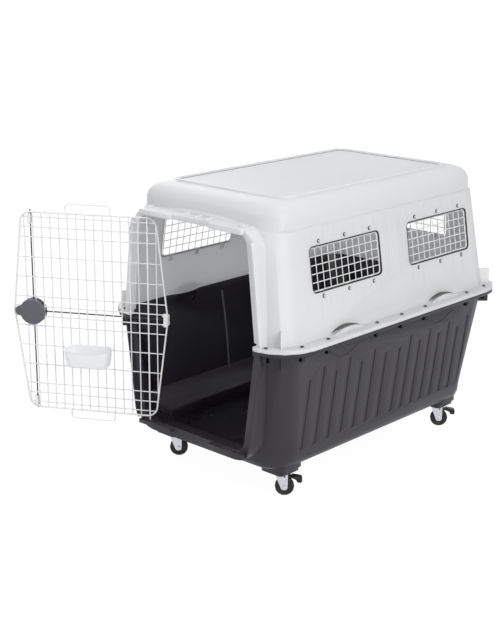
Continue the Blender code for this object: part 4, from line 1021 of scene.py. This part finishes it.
def buildPads():
    mesh = bpy.data.meshes.new("pad")
    mesh.from_pydata([(x, -pad["halfWide"], z) for x, z in pad["side"]], [], [range(len(pad["side"]))])
    flank = bpy.data.objects.new("pad", mesh)
    bpy.context.scene.collection.objects.link(flank)
    startEdit(flank)
    bpy.ops.mesh.extrude_region_move(TRANSFORM_OT_translate={"value": (0, 2 * pad["halfWide"], 0)})
    bpy.ops.mesh.select_all(action="SELECT")
    bpy.ops.mesh.normals_make_consistent(inside=False)
    endEdit()
    bevelEdges(flank, pad["edge"], pad["segments"], pad["angle"])
    turn = Matrix.Rotation(radians(pad["yaw"]), 4, "Z") @ Matrix.Translation((pad["trail"], 0, 0))
    for corner in corners:
        x = -pad["footX"] if corner.endswith("left") else pad["footX"]
        y = -pad["footY"] if corner.startswith("front") else pad["footY"]
        spot = Matrix.Translation((x, y, pad["pivotZ"])) @ turn
        dress(copied(flank, spot), "pedalPad_" + corner, "pedal_" + corner, finish["pedal"])
    removed(flank)


buildPads()
print("casters made")


# The rest of the CAD nodes keep their shape and take a finish
slotFinish = {
    "canopy_plastic": "canopy", "tray_plastic": "tray", "latch_plastic": "latch", "bowl_plastic": "bowl",
    "guide_plastic": "guide", "white_wire": "wire", "black_rod": "rod", "zinc_steel": "zinc",
    "wheel_rubber": "rubber", "pedal_plastic": "pedal",
}
for part in frame["record"]["subparts"]:
    node = frame["nodes"][part["node"]]
    node.data.materials.clear()
    look = "bolt" if part["node"].startswith("shell_bolt") else slotFinish[part["material_slot"]]
    node.data.materials.append(finish[look])


# Floor, world, lamps and camera
white = (1, 1, 1, 1)
ground = {
    "z": -0.1, "size": 40.0, "mottle": 3.0, "low": (0.86, 0.86, 0.86), "high": (0.88, 0.88, 0.88),
    "rough": 0.9, "specular": 0.1, "glow": 1.03, "shadowScale": (0.3, 0.3, 0.3), "shadow": 0.06,
}
sky = {"lit": 0.30, "shown": 1.0}  # how it lights the object, and how it is seen


# 1 for what the camera sees, also in a reflection or through a clear piece
def seenRays(root):
    outputs = root.node("LightPath", {}, {}).out.node.outputs
    seen = Sock(root.tree, outputs["Is Camera Ray"]) + Sock(root.tree, outputs["Is Glossy Ray"])
    return seen + Sock(root.tree, outputs["Is Transmission Ray"])


def buildFloor():
    bpy.ops.mesh.primitive_plane_add(size=ground["size"], location=(0, 0, ground["z"]))
    floor = applyPlace(bpy.context.object)
    floor.name = "floor"
    material, root = newFinish("paleFloor")
    tone = tinted(root, noise(root, place(root), ground["mottle"]), ground["low"], ground["high"])
    matte = root.node("BsdfPrincipled", {}, {
        "Base Color": tone, "Roughness": ground["rough"], "Specular IOR Level": ground["specular"],
    })
    glow = root.node("Emission", {}, {"Color": white, "Strength": ground["glow"]})
    where = place(root, ground["shadowScale"])
    near = root.node("TexGradient", {"gradient_type": "SPHERICAL"}, {"Vector": where})
    shown = seenRays(root) * (1 - near * ground["shadow"])
    mixed = root.node("MixShader", {}, {0: shown, 1: matte, 2: glow})
    root.node("OutputMaterial", {}, {"Surface": mixed})
    floor.data.materials.append(material)


def buildWorld():
    world = bpy.data.worlds.new("studio")
    bpy.context.scene.world = world
    world.use_nodes = True
    world.node_tree.nodes.clear()
    root = Sock(world.node_tree)
    lit = root.node("Background", {}, {"Color": white, "Strength": sky["lit"]})
    shown = root.node("Background", {}, {"Color": white, "Strength": sky["shown"]})
    mixed = root.node("MixShader", {}, {0: seenRays(root), 1: lit, 2: shown})
    root.node("OutputWorld", {}, {"Surface": mixed})


lamps = {
    "keyLight": {"spot": (3.8, -1.1, 2.3), "aim": (0, 0, 0.35), "power": 112.0, "size": 2.4},
    "fillLight": {"spot": (-1.5, -3.4, 3.2), "aim": (0, 0, 0.35), "power": 58.0, "size": 2.6},
    "backLight": {"spot": (-3.2, 1.6, 2.0), "aim": (0, 0, 0.35), "power": 40.0, "size": 2.4},
    "topLight": {"spot": (-0.3, 0.4, 3.6), "aim": (0, 0, 0.4), "power": 32.0, "size": 2.6},
}


def addLamp(name, lamp):
    light = bpy.data.lights.new(name, "AREA")
    light.energy = lamp["power"]
    light.size = lamp["size"]
    holder = bpy.data.objects.new(name, light)
    bpy.context.scene.collection.objects.link(holder)
    holder.location = lamp["spot"]
    holder.rotation_euler = (Vector(lamp["aim"]) - Vector(lamp["spot"])).to_track_quat("-Z", "Y").to_euler()


camera = {"spot": (2.467, -2.937, 1.43), "turn": 42.76, "pitch": 16.62, "roll": 0.34,
          "lens": 73.33, "sensor": 36, "near": 0.05}


def buildCamera():
    data = bpy.data.cameras.new("photoCamera")
    data.lens = camera["lens"]
    data.sensor_width = camera["sensor"]
    data.clip_start = camera["near"]
    holder = bpy.data.objects.new("photoCamera", data)
    bpy.context.scene.collection.objects.link(holder)
    look = Euler((radians(90 - camera["pitch"]), 0, radians(camera["turn"]))).to_matrix()
    turned = look @ Matrix.Rotation(radians(camera["roll"]), 3, "Z")
    holder.matrix_world = Matrix.Translation(camera["spot"]) @ turned.to_4x4()
    bpy.context.scene.camera = holder


buildFloor()
buildWorld()
for name, lamp in lamps.items():
    addLamp(name, lamp)
buildCamera()
bpy.context.scene.view_settings.view_transform = "Standard"
print("studio made")
